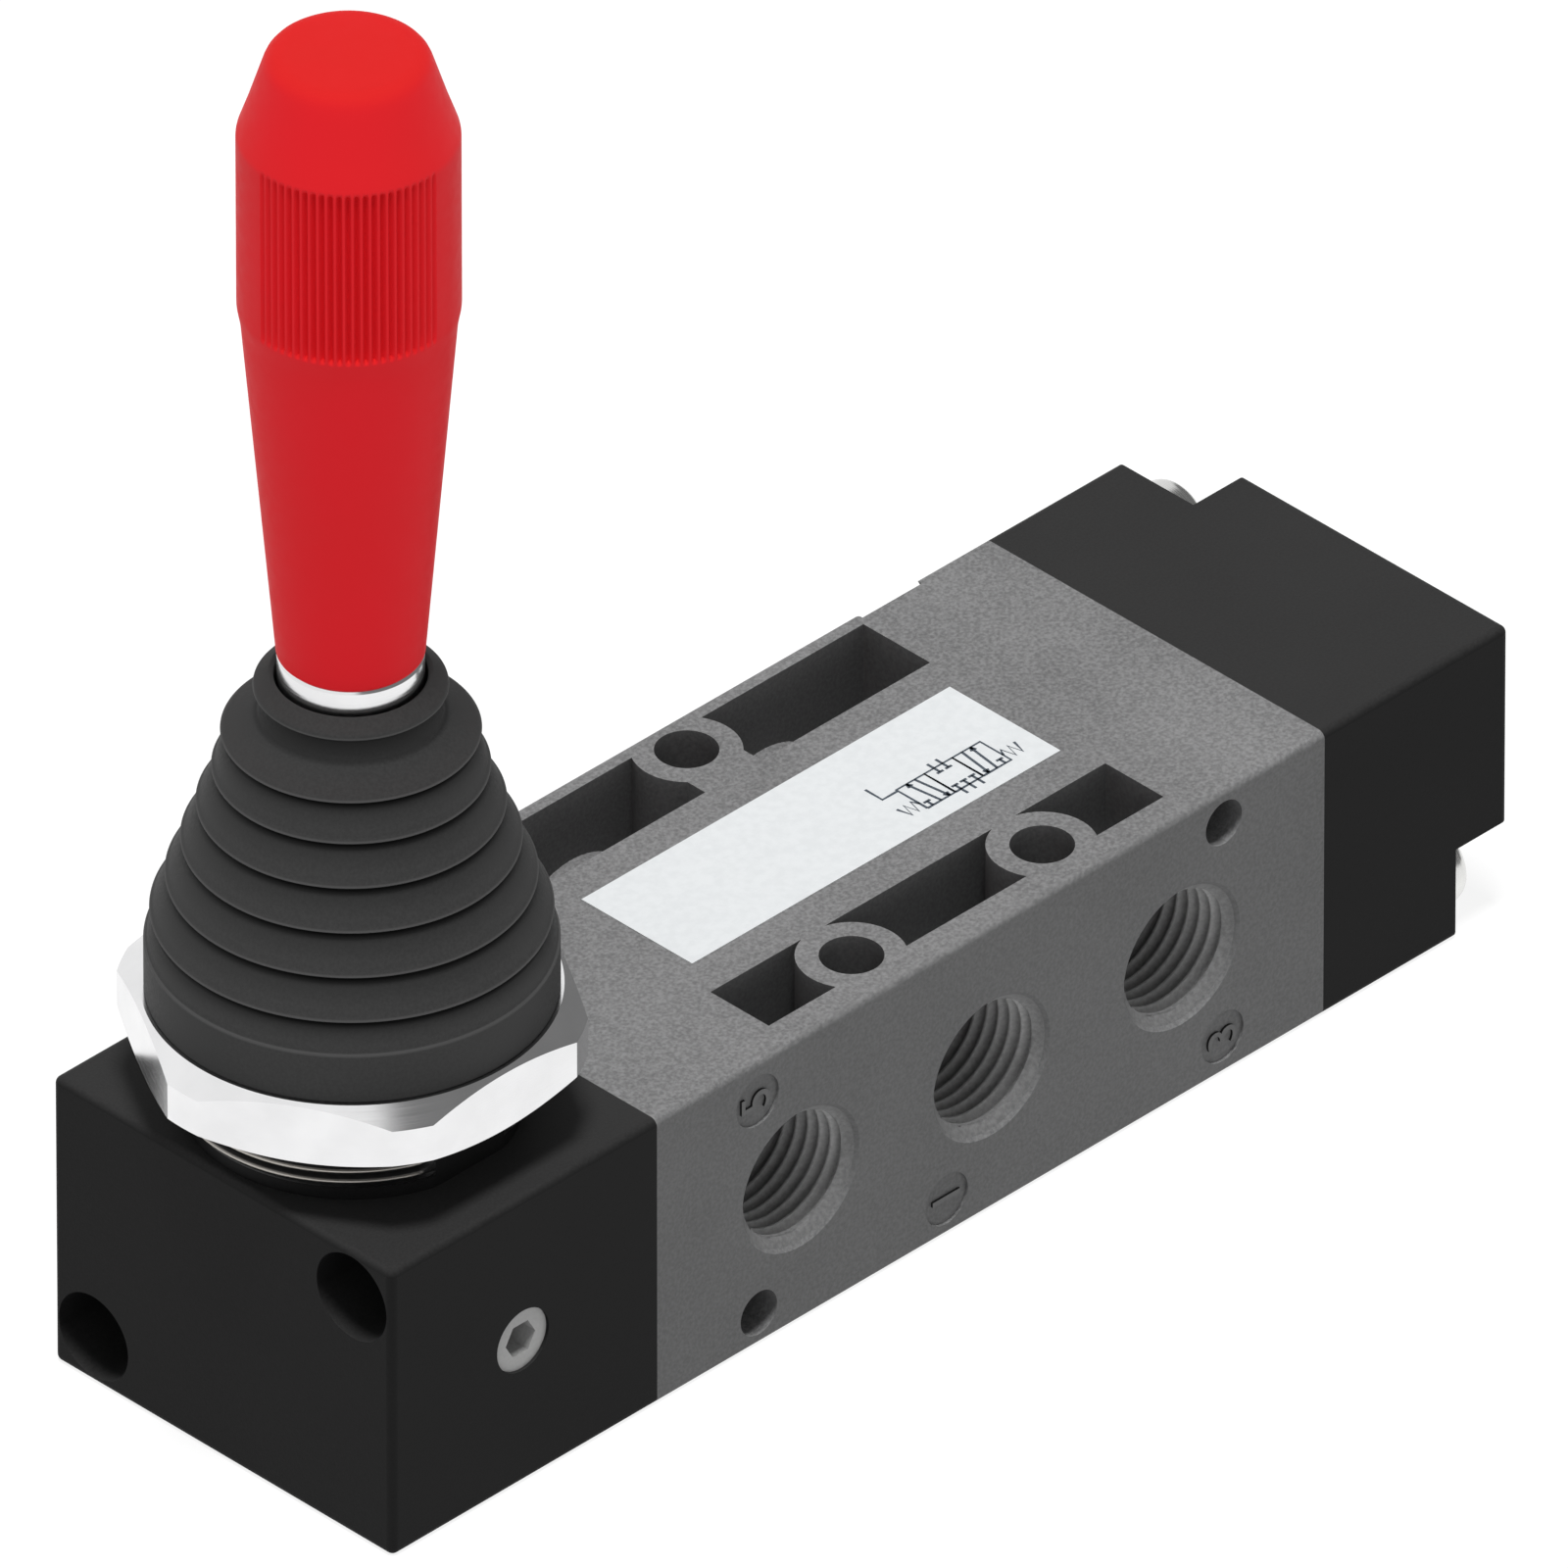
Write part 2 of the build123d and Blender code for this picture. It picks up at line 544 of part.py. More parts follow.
def knob_outline():
    """Half section of the knob, from its foot up over the grip to the crown."""
    foot = COLLAR_TOP
    crown_z = foot + KNOB_HEIGHT
    points = [(0, foot), (KNOB_FOOT_RADIUS, foot), (KNOB_SHANK_TOP_RADIUS, foot + KNOB_SHANK_HEIGHT)]
    points += [(GRIP_RADIUS, foot + GRIP_BOTTOM_RISE), (GRIP_RADIUS, foot + GRIP_TOP_RISE)]
    points += [(CROWN_EDGE_RADIUS, foot + CROWN_EDGE_RISE), (CROWN_TOP_RADIUS, crown_z), (0, crown_z)]
    return points


def flute_cut(angle, depth):
    """Groove with a V section, cut down the grip at one angle."""
    half = GRIP_RADIUS * radians(FLUTE_PITCH_ANGLE) * FLUTE_WIDTH_SHARE / 2
    wedge = make_face(Polyline((GRIP_RADIUS - depth, 0), (GRIP_RADIUS + depth, -2 * half),
                               (GRIP_RADIUS + depth, 2 * half), close=True))
    height = GRIP_TOP_RISE - GRIP_BOTTOM_RISE
    return Rot(0, 0, angle) * Pos(0, 0, COLLAR_TOP + GRIP_BOTTOM_RISE) * extrude(wedge, height)


def flutes():
    """Two panels of flutes on opposite sides, fading out towards the mould's parting line."""
    cuts = []
    middle = (FLUTES_PER_SIDE - 1) / 2
    for side in (0, 180):
        for index in range(FLUTES_PER_SIDE):
            away = (index - middle) / (middle + 1)
            depth = FLUTE_DEPTH * sqrt(cos(away * pi / 2))
            angle = FLUTE_FACING_ANGLE + side + (index - middle) * FLUTE_PITCH_ANGLE
            cuts.append(flute_cut(angle, depth))
    return cuts


def make_knob():
    """Long moulded knob with a fluted grip, on its threaded insert."""
    knob = turned(knob_outline())
    crown = knob.edges().filter_by(GeomType.CIRCLE).group_by(Axis.Z)[-1]
    knob = fillet(crown, CROWN_ROUND)
    knob -= rod_z(INSERT_RADIUS + FIT_CLEAR, COLLAR_TOP, COLLAR_TOP + INSERT_LENGTH)
    knob = knob - flutes()
    return Pos(X_LEVER, 0, 0) * knob


def make_knob_insert():
    """Brass insert moulded into the knob, with a holding groove."""
    top = COLLAR_TOP + INSERT_LENGTH
    middle = COLLAR_TOP + INSERT_LENGTH / 2
    low = middle - INSERT_GROOVE_WIDTH / 2
    high = middle + INSERT_GROOVE_WIDTH / 2
    insert = rod_z(INSERT_RADIUS, COLLAR_TOP, top, X_LEVER)
    groove = rod_z(INSERT_RADIUS, low, high, X_LEVER)
    groove -= rod_z(INSERT_RADIUS - INSERT_GROOVE_DEPTH, low, high, X_LEVER)
    hole_top = COLLAR_TOP + STUD_ENGAGED + AXIAL_CLEAR
    return insert - groove - rod_z(STUD_RADIUS + FIT_CLEAR, COLLAR_TOP, hole_top, X_LEVER)


def guide_slot():
    """Slot in the slider's near side that the guide screw's dog point runs in."""
    half_width = GUIDE_DOG_RADIUS + GUIDE_SLOT_CLEAR
    length = 2 * (SPOOL_TRAVEL + half_width + GUIDE_SLOT_CLEAR)
    plan = Plane((X_LEVER, -SLIDER_RADIUS, AXIS_Z), x_dir=(1, 0, 0), z_dir=(0, 1, 0))
    return extrude(plan * SlotOverall(length, 2 * half_width), GUIDE_SLOT_DEPTH)


def make_spool_slider():
    """Slider that the lever's tail ball pushes to and fro, pinned to the spool."""
    slider = rod_x(SLIDER_RADIUS, X_SLIDER_FRONT, X_SLIDER_REAR)
    slider = chamfer(slider.edges().filter_by(GeomType.CIRCLE), SLIDER_END_CHAMFER)
    hole = TAIL_BALL_RADIUS + BALL_HOLE_CLEAR
    floor = AXIS_Z - TAIL_BALL_RADIUS - BALL_HOLE_FLOOR
    crest = AXIS_Z + SLIDER_RADIUS
    slider -= rod_z(hole, floor, crest, X_LEVER)
    mouth = Cone(hole, hole + 2 * BALL_HOLE_MOUTH, 2 * BALL_HOLE_MOUTH, align=BASE)
    slider -= Pos(X_LEVER, 0, crest - 2 * BALL_HOLE_MOUTH) * mouth
    slider -= rod_x(SPOOL_RADIUS + FIT_CLEAR, X_SLIDER_REAR - COUPLING_DEPTH, X_SLIDER_REAR)
    slider -= rod_z(COUPLING_PIN_RADIUS + FIT_CLEAR, 0, crest, X_COUPLING_PIN)
    return slider - guide_slot()


def make_coupling_pin():
    """Pin across the slider and the spool's front end."""
    half = SLIDER_RADIUS - COUPLING_PIN_SHORT
    return rod_z(COUPLING_PIN_RADIUS, AXIS_Z - half, AXIS_Z + half, X_COUPLING_PIN)


def groove_x(middle, width):
    """Ring cut that leaves a waist in the spool."""
    cut = rod_x(SPOOL_RADIUS + CUT_PAST, middle - width / 2, middle + width / 2)
    return cut - rod_x(SPOOL_GROOVE_RADIUS, middle - width / 2, middle + width / 2)


def make_spool():
    """Spool with three waists, a pin hole in front and the tail that carries the spring plate."""
    x_end = X_REAR_SEAM - SPOOL_END_SETBACK
    x_seat = X_PLATE - PLATE_THICKNESS / 2
    x_tip = x_seat + PLATE_THICKNESS + TAIL_NUT_THICKNESS + TAIL_STUD_PROUD
    spool = rod_x(SPOOL_RADIUS, X_SPOOL_FRONT, x_end)
    spool -= groove_x(X_BODY_MIDDLE, SPOOL_MID_GROOVE)
    for side in ROWS:
        spool -= groove_x(X_BODY_MIDDLE + side * SPOOL_SIDE_GROOVE_SHIFT, SPOOL_SIDE_GROOVE)
    spool += rod_x(TAIL_RADIUS, x_end, x_seat)
    spool += rod_x(TAIL_STUD_RADIUS, x_seat, x_tip)
    return spool - rod_z(COUPLING_PIN_RADIUS + FIT_CLEAR, 0, BLOCK_HEIGHT, X_COUPLING_PIN)


def make_spring_plate():
    """Round plate on the spool's tail, pushed from both sides by the centring springs."""
    x_from = X_PLATE - PLATE_THICKNESS / 2
    x_to = x_from + PLATE_THICKNESS
    return rod_x(PLATE_RADIUS, x_from, x_to) - rod_x(TAIL_STUD_RADIUS + FIT_CLEAR, x_from, x_to)


def make_plate_nut():
    """Small hexagon nut behind the spring plate."""
    x_from = X_PLATE + PLATE_THICKNESS / 2
    x_to = x_from + TAIL_NUT_THICKNESS
    nut = hex_x(TAIL_NUT_ACROSS, x_from, x_to, 0, AXIS_Z)
    return nut - rod_x(TAIL_STUD_RADIUS + FIT_CLEAR, x_from, x_to)


def make_spring(x_from, x_to):
    """Open coil spring between two faces."""
    wire = SPRING_WIRE / 2
    start = x_from + wire + AXIAL_CLEAR
    height = x_to - x_from - 2 * (wire + AXIAL_CLEAR)
    path = Helix(height / SPRING_TURNS, height, SPRING_MEAN_RADIUS)
    section = Plane(path @ 0, z_dir=path % 0) * Circle(wire)
    coil = sweep(section, path, is_frenet=True)
    return Pos(start, 0, AXIS_Z) * Rot(0, 90, 0) * coil


def make_seal(middle):
    """Ring seal that the spool slides in."""
    x_from = middle - SEAL_WIDTH / 2
    x_to = x_from + SEAL_WIDTH
    ring = rod_x(BORE_RADIUS - FIT_CLEAR, x_from, x_to)
    return ring - rod_x(SPOOL_RADIUS + RUN_CLEAR, x_from, x_to)


def make_cage(middle):
    """Spacer between two seals, with holes that let the port's air through."""
    half = (PORT_SPACING - SEAL_WIDTH) / 2
    cage = rod_x(BORE_RADIUS - FIT_CLEAR, middle - half, middle + half)
    cage -= rod_x(CAGE_INNER_RADIUS, middle - half, middle + half)
    cage -= rod_y(CAGE_HOLE_RADIUS, -BORE_RADIUS, BORE_RADIUS, middle)
    return cage - rod_z(CAGE_HOLE_RADIUS, AXIS_Z - BORE_RADIUS, AXIS_Z + BORE_RADIUS, middle)


def make_front_bush():
    """Guide bush in front of the seal pack, hollowed out for the slider's end."""
    x_to = X_BODY_MIDDLE - PACK_HALF
    bush = rod_x(BORE_RADIUS - FIT_CLEAR, X_FRONT_SEAM, x_to)
    reach = X_SLIDER_REAR + SPOOL_TRAVEL + AXIAL_CLEAR
    bush -= rod_x(SLIDER_RADIUS + RUN_CLEAR, X_FRONT_SEAM, reach)
    return bush - rod_x(SPOOL_RADIUS + RUN_CLEAR, X_FRONT_SEAM, x_to)


def make_rear_bush():
    """Guide bush behind the seal pack."""
    x_from = X_BODY_MIDDLE + PACK_HALF
    bush = rod_x(BORE_RADIUS - FIT_CLEAR, x_from, X_REAR_SEAM)
    return bush - rod_x(SPOOL_RADIUS + RUN_CLEAR, x_from, X_REAR_SEAM)


def make_face_seal(x_from):
    """Round section ring that seals a seam."""
    ring = Torus(FACE_SEAL_RADIUS, FACE_SEAL_WIRE)
    return Pos(x_from, 0, AXIS_Z) * Rot(0, 90, 0) * ring


def make_rear_cap():
    """Rear cap: a flange and a boss cut away at two corners for the screws."""
    cap = rounded_block(X_REAR_SEAM, X_REAR, False, True)
    for y, z in rear_screw_places():
        y_side = Y_NEAR if y < 0 else Y_FAR - NOTCH_WIDTH
        z_side = 0 if z < AXIS_Z else BLOCK_HEIGHT - NOTCH_HEIGHT
        cap -= slab(X_FLANGE_END, X_REAR, y_side, y_side + NOTCH_WIDTH, z_side, z_side + NOTCH_HEIGHT)
        cap -= rod_x(M4_RADIUS + SCREW_CLEAR, X_REAR_SEAM, X_FLANGE_END, y, z)
    return cap - rod_x(CHAMBER_RADIUS, X_REAR_SEAM, X_CHAMBER_END)


def make_guide_screw():
    """Flush grub screw with a hexagon socket and a dog point."""
    y_head = Y_NEAR + GUIDE_SCREW_RECESS
    y_end = -SLIDER_RADIUS - GUIDE_SCREW_TIP_FROM_BORE
    y_tip = -SLIDER_RADIUS + GUIDE_SLOT_DEPTH - GUIDE_DOG_TIP_GAP
    screw = rod_y(GUIDE_SCREW_RADIUS, y_head, y_end, X_LEVER)
    screw += rod_y(GUIDE_DOG_RADIUS, y_end, y_tip, X_LEVER)
    return screw - hex_y(GUIDE_SOCKET_ACROSS, y_head, y_head + GUIDE_SOCKET_DEPTH, X_LEVER, AXIS_Z)


def make_front_screw(y, z):
    """Socket cap screw at the bottom of its counterbore."""
    x_seat = X_FRONT + COUNTERBORE_DEPTH
    x_head = x_seat - CAP_HEAD_HEIGHT
    screw = rod_x(CAP_HEAD_RADIUS, x_head, x_seat, y, z)
    screw += rod_x(M4_RADIUS, x_seat, X_FRONT_SEAM + FRONT_SCREW_GRIP, y, z)
    return screw - hex_x(CAP_SOCKET_ACROSS, x_head, x_head + CAP_SOCKET_DEPTH, y, z)


def make_rear_screw(y, z):
    """Pan head screw with a cross recess, seated on the flange."""
    x_top = X_FLANGE_END + PAN_HEAD_HEIGHT
    head = rod_x(PAN_HEAD_RADIUS, X_FLANGE_END, x_top, y, z)
    head = fillet(head.edges().filter_by(GeomType.CIRCLE).sort_by(Axis.X)[-1], PAN_HEAD_ROUND)
    half = PAN_RECESS_WIDTH / 2
    x_floor = x_top - PAN_RECESS_DEPTH
    reach = PAN_RECESS_RADIUS
    head -= slab(x_floor, x_top, y - reach, y + reach, z - half, z + half)
    head -= slab(x_floor, x_top, y - half, y + half, z - reach, z + reach)
    return head + rod_x(M4_RADIUS, X_REAR_SEAM - REAR_SCREW_GRIP, X_FLANGE_END, y, z)


def make_label_plate():
    """Thin label plate in its recess on the top face."""
    plate = Box(LABEL_LENGTH - 2 * FIT_CLEAR, LABEL_WIDTH - 2 * FIT_CLEAR, LABEL_THICKNESS, align=BASE)
    return Pos(X_BODY_MIDDLE + LABEL_OFF_X, LABEL_OFF_Y, LABEL_BOTTOM) * plate


def make_valve():
    """Every piece of the valve by its node name."""
    lower_top = PIVOT_HEIGHT - SEAT_SPLIT_GAP / 2
    upper_floor = PIVOT_HEIGHT + SEAT_SPLIT_GAP / 2
    parts = {
        "valve_body": make_valve_body(),
        "lever_housing": make_lever_housing(),
        "rear_cap": make_rear_cap(),
        "lower_ball_seat": make_seat(SEAT_FLOOR, lower_top, True, LOWER_SEAT_MOUTH),
        "upper_ball_seat": make_seat(upper_floor, UPPER_SEAT_TOP, False, UPPER_SEAT_MOUTH),
        "circlip": make_circlip(),
        "panel_nut": make_panel_nut(),
        "boot": make_boot(),
        "lever_shaft": make_lever_shaft(),
        "lever_collar": make_lever_collar(),
        "knob": make_knob(),
        "knob_insert": make_knob_insert(),
        "spool_slider": make_spool_slider(),
        "coupling_pin": make_coupling_pin(),
        "spool": make_spool(),
        "spring_plate": make_spring_plate(),
        "plate_nut": make_plate_nut(),
        "front_centring_spring": make_spring(X_REAR_SEAM, X_PLATE - PLATE_THICKNESS / 2),
        "rear_centring_spring": make_spring(X_PLATE + PLATE_THICKNESS / 2, X_CHAMBER_END),
        "front_bush": make_front_bush(),
        "rear_bush": make_rear_bush(),
        "front_face_seal": make_face_seal(X_FRONT_SEAM + FACE_GROOVE_DEPTH / 2),
        "rear_face_seal": make_face_seal(X_REAR_SEAM - FACE_GROOVE_DEPTH / 2),
        "guide_screw": make_guide_screw(),
        "front_screws": Compound([make_front_screw(y, z) for y, z in front_screw_places()]),
        "rear_screws": Compound([make_rear_screw(y, z) for y, z in rear_screw_places()]),
        "label_plate": make_label_plate(),
    }
    for name, (step, _) in PORTS.items():
        parts["cage_port_" + name] = make_cage(port_x(step))
    for index in range(len(PORTS) + 1):
        middle = X_BODY_MIDDLE + (index - len(PORTS) / 2) * PORT_SPACING
        parts["spool_seal_" + str(index + 1)] = make_seal(middle)
    return parts


os.makedirs("parts", exist_ok=True)
for node, solid in make_valve().items():
    export_step(solid, os.path.join("parts", node + ".step"))
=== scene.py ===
import json
from math import cos, pi, radians, sin, tau

import bpy
from mathutils import Matrix, Vector


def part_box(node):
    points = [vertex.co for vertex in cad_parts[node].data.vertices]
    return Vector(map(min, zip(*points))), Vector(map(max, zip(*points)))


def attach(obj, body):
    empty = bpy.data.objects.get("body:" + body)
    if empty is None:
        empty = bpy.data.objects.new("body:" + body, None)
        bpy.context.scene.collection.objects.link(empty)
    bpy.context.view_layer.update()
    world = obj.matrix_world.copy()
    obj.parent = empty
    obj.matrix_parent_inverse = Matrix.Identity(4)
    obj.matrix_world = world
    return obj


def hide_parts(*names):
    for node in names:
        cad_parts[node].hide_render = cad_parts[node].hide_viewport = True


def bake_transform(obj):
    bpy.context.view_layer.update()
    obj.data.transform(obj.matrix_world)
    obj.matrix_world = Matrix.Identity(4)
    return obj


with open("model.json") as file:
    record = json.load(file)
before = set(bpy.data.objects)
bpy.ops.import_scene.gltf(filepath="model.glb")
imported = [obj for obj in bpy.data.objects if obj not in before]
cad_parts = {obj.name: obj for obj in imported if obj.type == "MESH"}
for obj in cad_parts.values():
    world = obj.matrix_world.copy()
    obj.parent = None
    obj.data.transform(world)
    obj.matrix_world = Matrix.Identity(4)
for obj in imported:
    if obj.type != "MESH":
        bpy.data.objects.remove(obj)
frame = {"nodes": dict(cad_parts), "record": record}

bl_info = {
    "name": "Hand lever air valve",
    "version": (1, 0, 0),
    "blender": (4, 5, 0),
    "location": "3D View > Sidebar > Valve",
    "description": "Builds the pieces, finishes and stage of a hand lever air valve round its CAD frame",
    "category": "Object",
}

MM = 0.001


# Sizes that a user can change, in metres and radians as Blender keeps them


def length(name, description, default):
    """A length in metres."""
    return bpy.props.FloatProperty(name=name, description=description, default=default, unit="LENGTH")


def angle(name, description, degrees):
    """An angle, given in degrees and kept in radians."""
    return bpy.props.FloatProperty(
        name=name, description=description, default=radians(degrees), subtype="ANGLE")


def number(name, description, default):
    """A number without a unit."""
    return bpy.props.FloatProperty(name=name, description=description, default=default)


def count(name, description, default, least=1):
    """A whole number."""
    return bpy.props.IntProperty(name=name, description=description, default=default, min=least)


class ValvePlaces(bpy.types.PropertyGroup):
    """Stations of the CAD frame that the pieces are placed by."""

    lever_x: length("Lever station", "Distance of the lever axis along the valve", -0.0551)
    near_y: length("Near face", "Distance of the face with ports 5, 1 and 3", -0.020)
    far_y: length("Far face", "Distance of the face with ports 4 and 2", 0.020)
    port_spacing: length("Port spacing", "Distance along the valve from one port to the next", 0.01125)
    port_z: length("Port height", "Height of the port axes", 0.0145)


class ValveBoot(bpy.types.PropertyGroup):
    """Sizes of the rubber boot."""

    segments: count("Segments", "Faces round the boot", 224, 32)
    bottom: length("Bottom", "Height of the band's lower edge", 0.0409)
    band_radius: length("Band radius", "Outside radius of the band", 0.0173)
    band_height: length("Band height", "Height of the plain band", 0.00475)
    inner_radius: length("Neck radius", "Inside radius on the neck", 0.01437)
    ridge_radius: length("First ridge radius", "Radius of the lowest pleat", 0.0168)
    ridge_rise: length("First ridge rise", "Height of the lowest pleat over the bottom", 0.0078)
    step_in: length("Step in", "How much each pleat is smaller", 0.0013)
    step_up: length("Step up", "How much each pleat is higher", 0.0036)
    top_radius: length("Top ridge radius", "Least radius of a pleat", 0.01085)
    pleats: count("Pleats", "Number of pleats", 6)
    pleat_depth: length("Pleat depth", "Depth of the fold under a pleat", 0.0010)
    undercut: length("Undercut", "Drop of the fold under a pleat's rim", 0.0003)
    gap: length("Gap", "Height of the groove under a pleat's rim", 0.00055)
    wall: length("Wall", "Thickness of the rubber", 0.0011)
    grip_radius: length("Grip radius", "Inside radius round the collar", 0.0064)


class ValveKnob(bpy.types.PropertyGroup):
    """Sizes of the lever knob."""

    segments: count("Segments", "Faces round the knob", 640, 64)
    bottom: length("Bottom", "Height of the knob's foot", 0.0746)
    flute_pitch: angle("Flute pitch", "Angle from one flute to the next", 4.5)
    flutes: count("Flutes", "Flutes on each side", 23)
    flute_depth: length("Flute depth", "Depth of the middle flutes", 0.00048)
    flute_share: bpy.props.FloatProperty(
        name="Flute share", description="Width of a flute over its pitch", default=0.62, min=0.1, max=1.0)
    facing: angle("Facing", "Direction that the middle flute faces", 225)
    grip_low: length("Grip bottom", "Height where the flutes start", 0.1096)
    grip_high: length("Grip top", "Height where the flutes end", 0.1266)
    bore: length("Bore", "Radius of the hole for the insert", 0.00502)
    bore_depth: length("Bore depth", "Depth of the hole for the insert", 0.014)
    bore_wall: length("Bore wall", "Plastic round the bore that the flutes leave alone", 0.0005)


class ValveThreads(bpy.types.PropertyGroup):
    """Sizes of the neck's and the ports' screw threads."""

    neck_radius: length("Neck thread radius", "Crest radius of the neck thread", 0.0150)
    neck_root: length("Neck thread root", "Root radius of the neck thread", 0.01425)
    neck_pitch: length("Neck thread pitch", "Pitch of the neck thread", 0.0010)
    neck_low: length("Neck thread start", "Height where the neck thread starts", 0.0301)
    neck_high: length("Neck thread end", "Height where the neck thread ends", 0.0346)
    neck_flat: length("Neck flat", "Half the distance across the neck's flats", 0.01379)
    neck_wall: length("Neck thread wall", "Thickness of the sleeve under the neck thread", 0.0003)
    port_radius: length("Port thread radius", "Radius of the port threads' roots", 0.00657)
    port_crest: length("Port thread crest", "Radius of the port threads' crests", 0.00580)
    port_pitch: length("Port thread pitch", "Pitch of the port threads", 0.001337)
    port_start: length("Port thread start", "Depth where the port threads start", 0.00033)
    port_end: length("Port thread end", "Depth where the port threads end", 0.0106)
    port_wall: length("Port thread wall", "Thickness of the sleeves behind the port threads", 0.0001)


class ValveMarks(bpy.types.PropertyGroup):
    """Sizes of the cast port numbers and the printed label."""

    digit_height: length("Digit height", "Height of a cast port number", 0.0034)
    digit_floor: length("Recess", "Depth of the round recess that a number stands in", 0.00025)
    digit_shift: length("Number shift", "How far along the valve the numbers are from their ports", -0.0051)
    digit_high: length("Number rise", "How far above their ports the upper numbers are", 0.0105)
    digit_low: length("Number drop", "How far below their ports the lower numbers are", 0.0107)
    label_x: length("Label station", "Middle of the label along the valve", 0.0002)
    label_y: length("Label offset", "Middle of the label across the valve", 0.0003)
    label_z: length("Label top", "Height of the label's face", 0.02905)
    ink: length("Ink", "Thickness of the print", 0.00002)
    line: length("Line", "Width of a printed line", 0.00026)


class ValveSprings(bpy.types.PropertyGroup):
    """Sizes of the two centring springs."""

    turns: number("Turns", "Turns of each spring", 4.0)
    wire: length("Wire", "Thickness of the wire", 0.0009)
    mean_radius: length("Mean radius", "Radius at the middle of the wire", 0.00535)
    end_gap: length("End gap", "Room between a spring's end and what it presses on", 0.00003)


class ValveStage(bpy.types.PropertyGroup):
    """Camera, light and floor."""

    distance: length("Distance", "Camera distance", 5.806)
    lens: number("Lens", "Focal length in millimetres", 1600.0)
    aim: bpy.props.FloatVectorProperty(
        name="Aim", description="Point that the camera looks at", default=(-0.0045, 0.0, 0.0357),
        subtype="XYZ", unit="LENGTH")
    key: number("Key", "Strength of the overhead light", 2.65)
    slant: bpy.props.FloatVectorProperty(
        name="Slant", description="Direction that the overhead light comes from",
        default=(-0.105, -0.105, 0.989), subtype="XYZ")
    softness: angle("Softness", "Angle that the overhead light fills", 14)
    sky: number("Sky", "Strength of the even light from above", 0.25)
    surround: number("Surround", "Strength of the even light from the sides and the pale floor", 0.90)
    bright_side: number("Bright side", "What shiny metal mirrors on its bright side", 1.00)
    dark_side: number("Dark side", "What shiny metal mirrors on its dark side", 0.20)
    backdrop: number("Backdrop", "What the camera sees behind the floor", 1.02)
    floor_glow: number("Floor glow", "Light that the floor gives off like a light table", 0.86)
    floor_size: length("Floor", "Side of the floor", 3.0)


# Helpers for node trees


def sign(operation, turned=False):
    """A formula's sign as a method, with its two sides turned round where asked."""
    def method(self, other):
        return self.nodes.sums(operation, *((other, self) if turned else (self, other)))
    return method


class Value:
    """Output of a node: sums on it are written as formulas, the node's other outputs are got by name."""

    def __init__(self, nodes, socket):
        self.nodes = nodes
        self.socket = socket

    def __getitem__(self, name):
        return Value(self.nodes, self.socket.node.outputs[name])

    def op(self, operation, *others):
        """One step of arithmetic, by its name in Blender."""
        return self.nodes.sums(operation, self, *others)

    __add__ = sign("ADD")
    __sub__ = sign("SUBTRACT")
    __rsub__ = sign("SUBTRACT", turned=True)
    __mul__ = sign("MULTIPLY")
    __truediv__ = sign("DIVIDE")
    __rtruediv__ = sign("DIVIDE", turned=True)

    def __abs__(self):
        return self.op("ABSOLUTE")

    def toward(self, other, share):
        """This value moved to another one by a share."""
        return share.op("MULTIPLY_ADD", other - self, self)

    def ramp(self, low, high, first=0.0, last=1.0, **settings):
        """This value from one range to another, held at both ends."""
        return self.nodes.add("ShaderNodeMapRange", {0: self, 1: low, 2: high, 3: first, 4: last}, **settings)


class Nodes:
    """A node tree with short forms for its nodes."""

    def __init__(self, tree):
        self.tree = tree

    def plug(self, value, socket):
        """Link an output, or each of a list of them, to a socket, or set the socket's value."""
        if isinstance(value, Value):
            self.tree.links.new(value.socket, socket)
        elif isinstance(value, list):
            for item in value:
                self.plug(item, socket)
        else:
            socket.default_value = value

    def add(self, kind, sockets=None, **settings):
        """Add a node with its settings, and its sockets by name or number as values or links."""
        node = self.tree.nodes.new(kind)
        for key, value in settings.items():
            setattr(node, key, value)
        for key, value in (sockets or {}).items():
            self.plug(value, node.inputs[key])
        return Value(self, node.outputs[0])

    def sums(self, operation, *values):
        """One step of arithmetic."""
        return self.add("ShaderNodeMath", dict(enumerate(values)), operation=operation)

    def split(self, vector):
        """The three numbers of a vector."""
        parts = self.add("ShaderNodeSeparateXYZ", {0: vector})
        return [parts[axis] for axis in "XYZ"]

    def place(self, kind="Object"):
        """Where a point of the surface is, or the way that it looks."""
        return self.add("ShaderNodeTexCoord")[kind]

    def along(self, vector, way):
        """How far a vector reaches along a direction."""
        return self.add("ShaderNodeVectorMath", {0: vector, 1: way}, operation="DOT_PRODUCT")["Value"]

    def noise(self, place, scale, detail, roughness=0.5):
        """Noise in space."""
        return self.add("ShaderNodeTexNoise", {
            "Vector": place, "Scale": scale, "Detail": detail, "Roughness": roughness})


class Group(Nodes):
    """A node group: each socket is given by its default value, or by its kind where it has none."""

    KINDS = {float: "Float", int: "Int", tuple: "Vector"}

    def __init__(self, name, kind, inputs, outputs):
        super().__init__(bpy.data.node_groups.new(name, kind))
        for side, sockets in (("INPUT", inputs), ("OUTPUT", outputs)):
            for label, value in sockets.items():
                socket = self.KINDS.get(type(value), value)
                item = self.tree.interface.new_socket(label, in_out=side, socket_type="NodeSocket" + socket)
                if socket != value:
                    item.default_value = value
        self.start = self.add("NodeGroupInput")
        self.end = self.tree.nodes.new("NodeGroupOutput")

    def give(self, **results):
        """Send results to the group's outputs."""
        for key, value in results.items():
            self.plug(value, self.end.inputs[key])


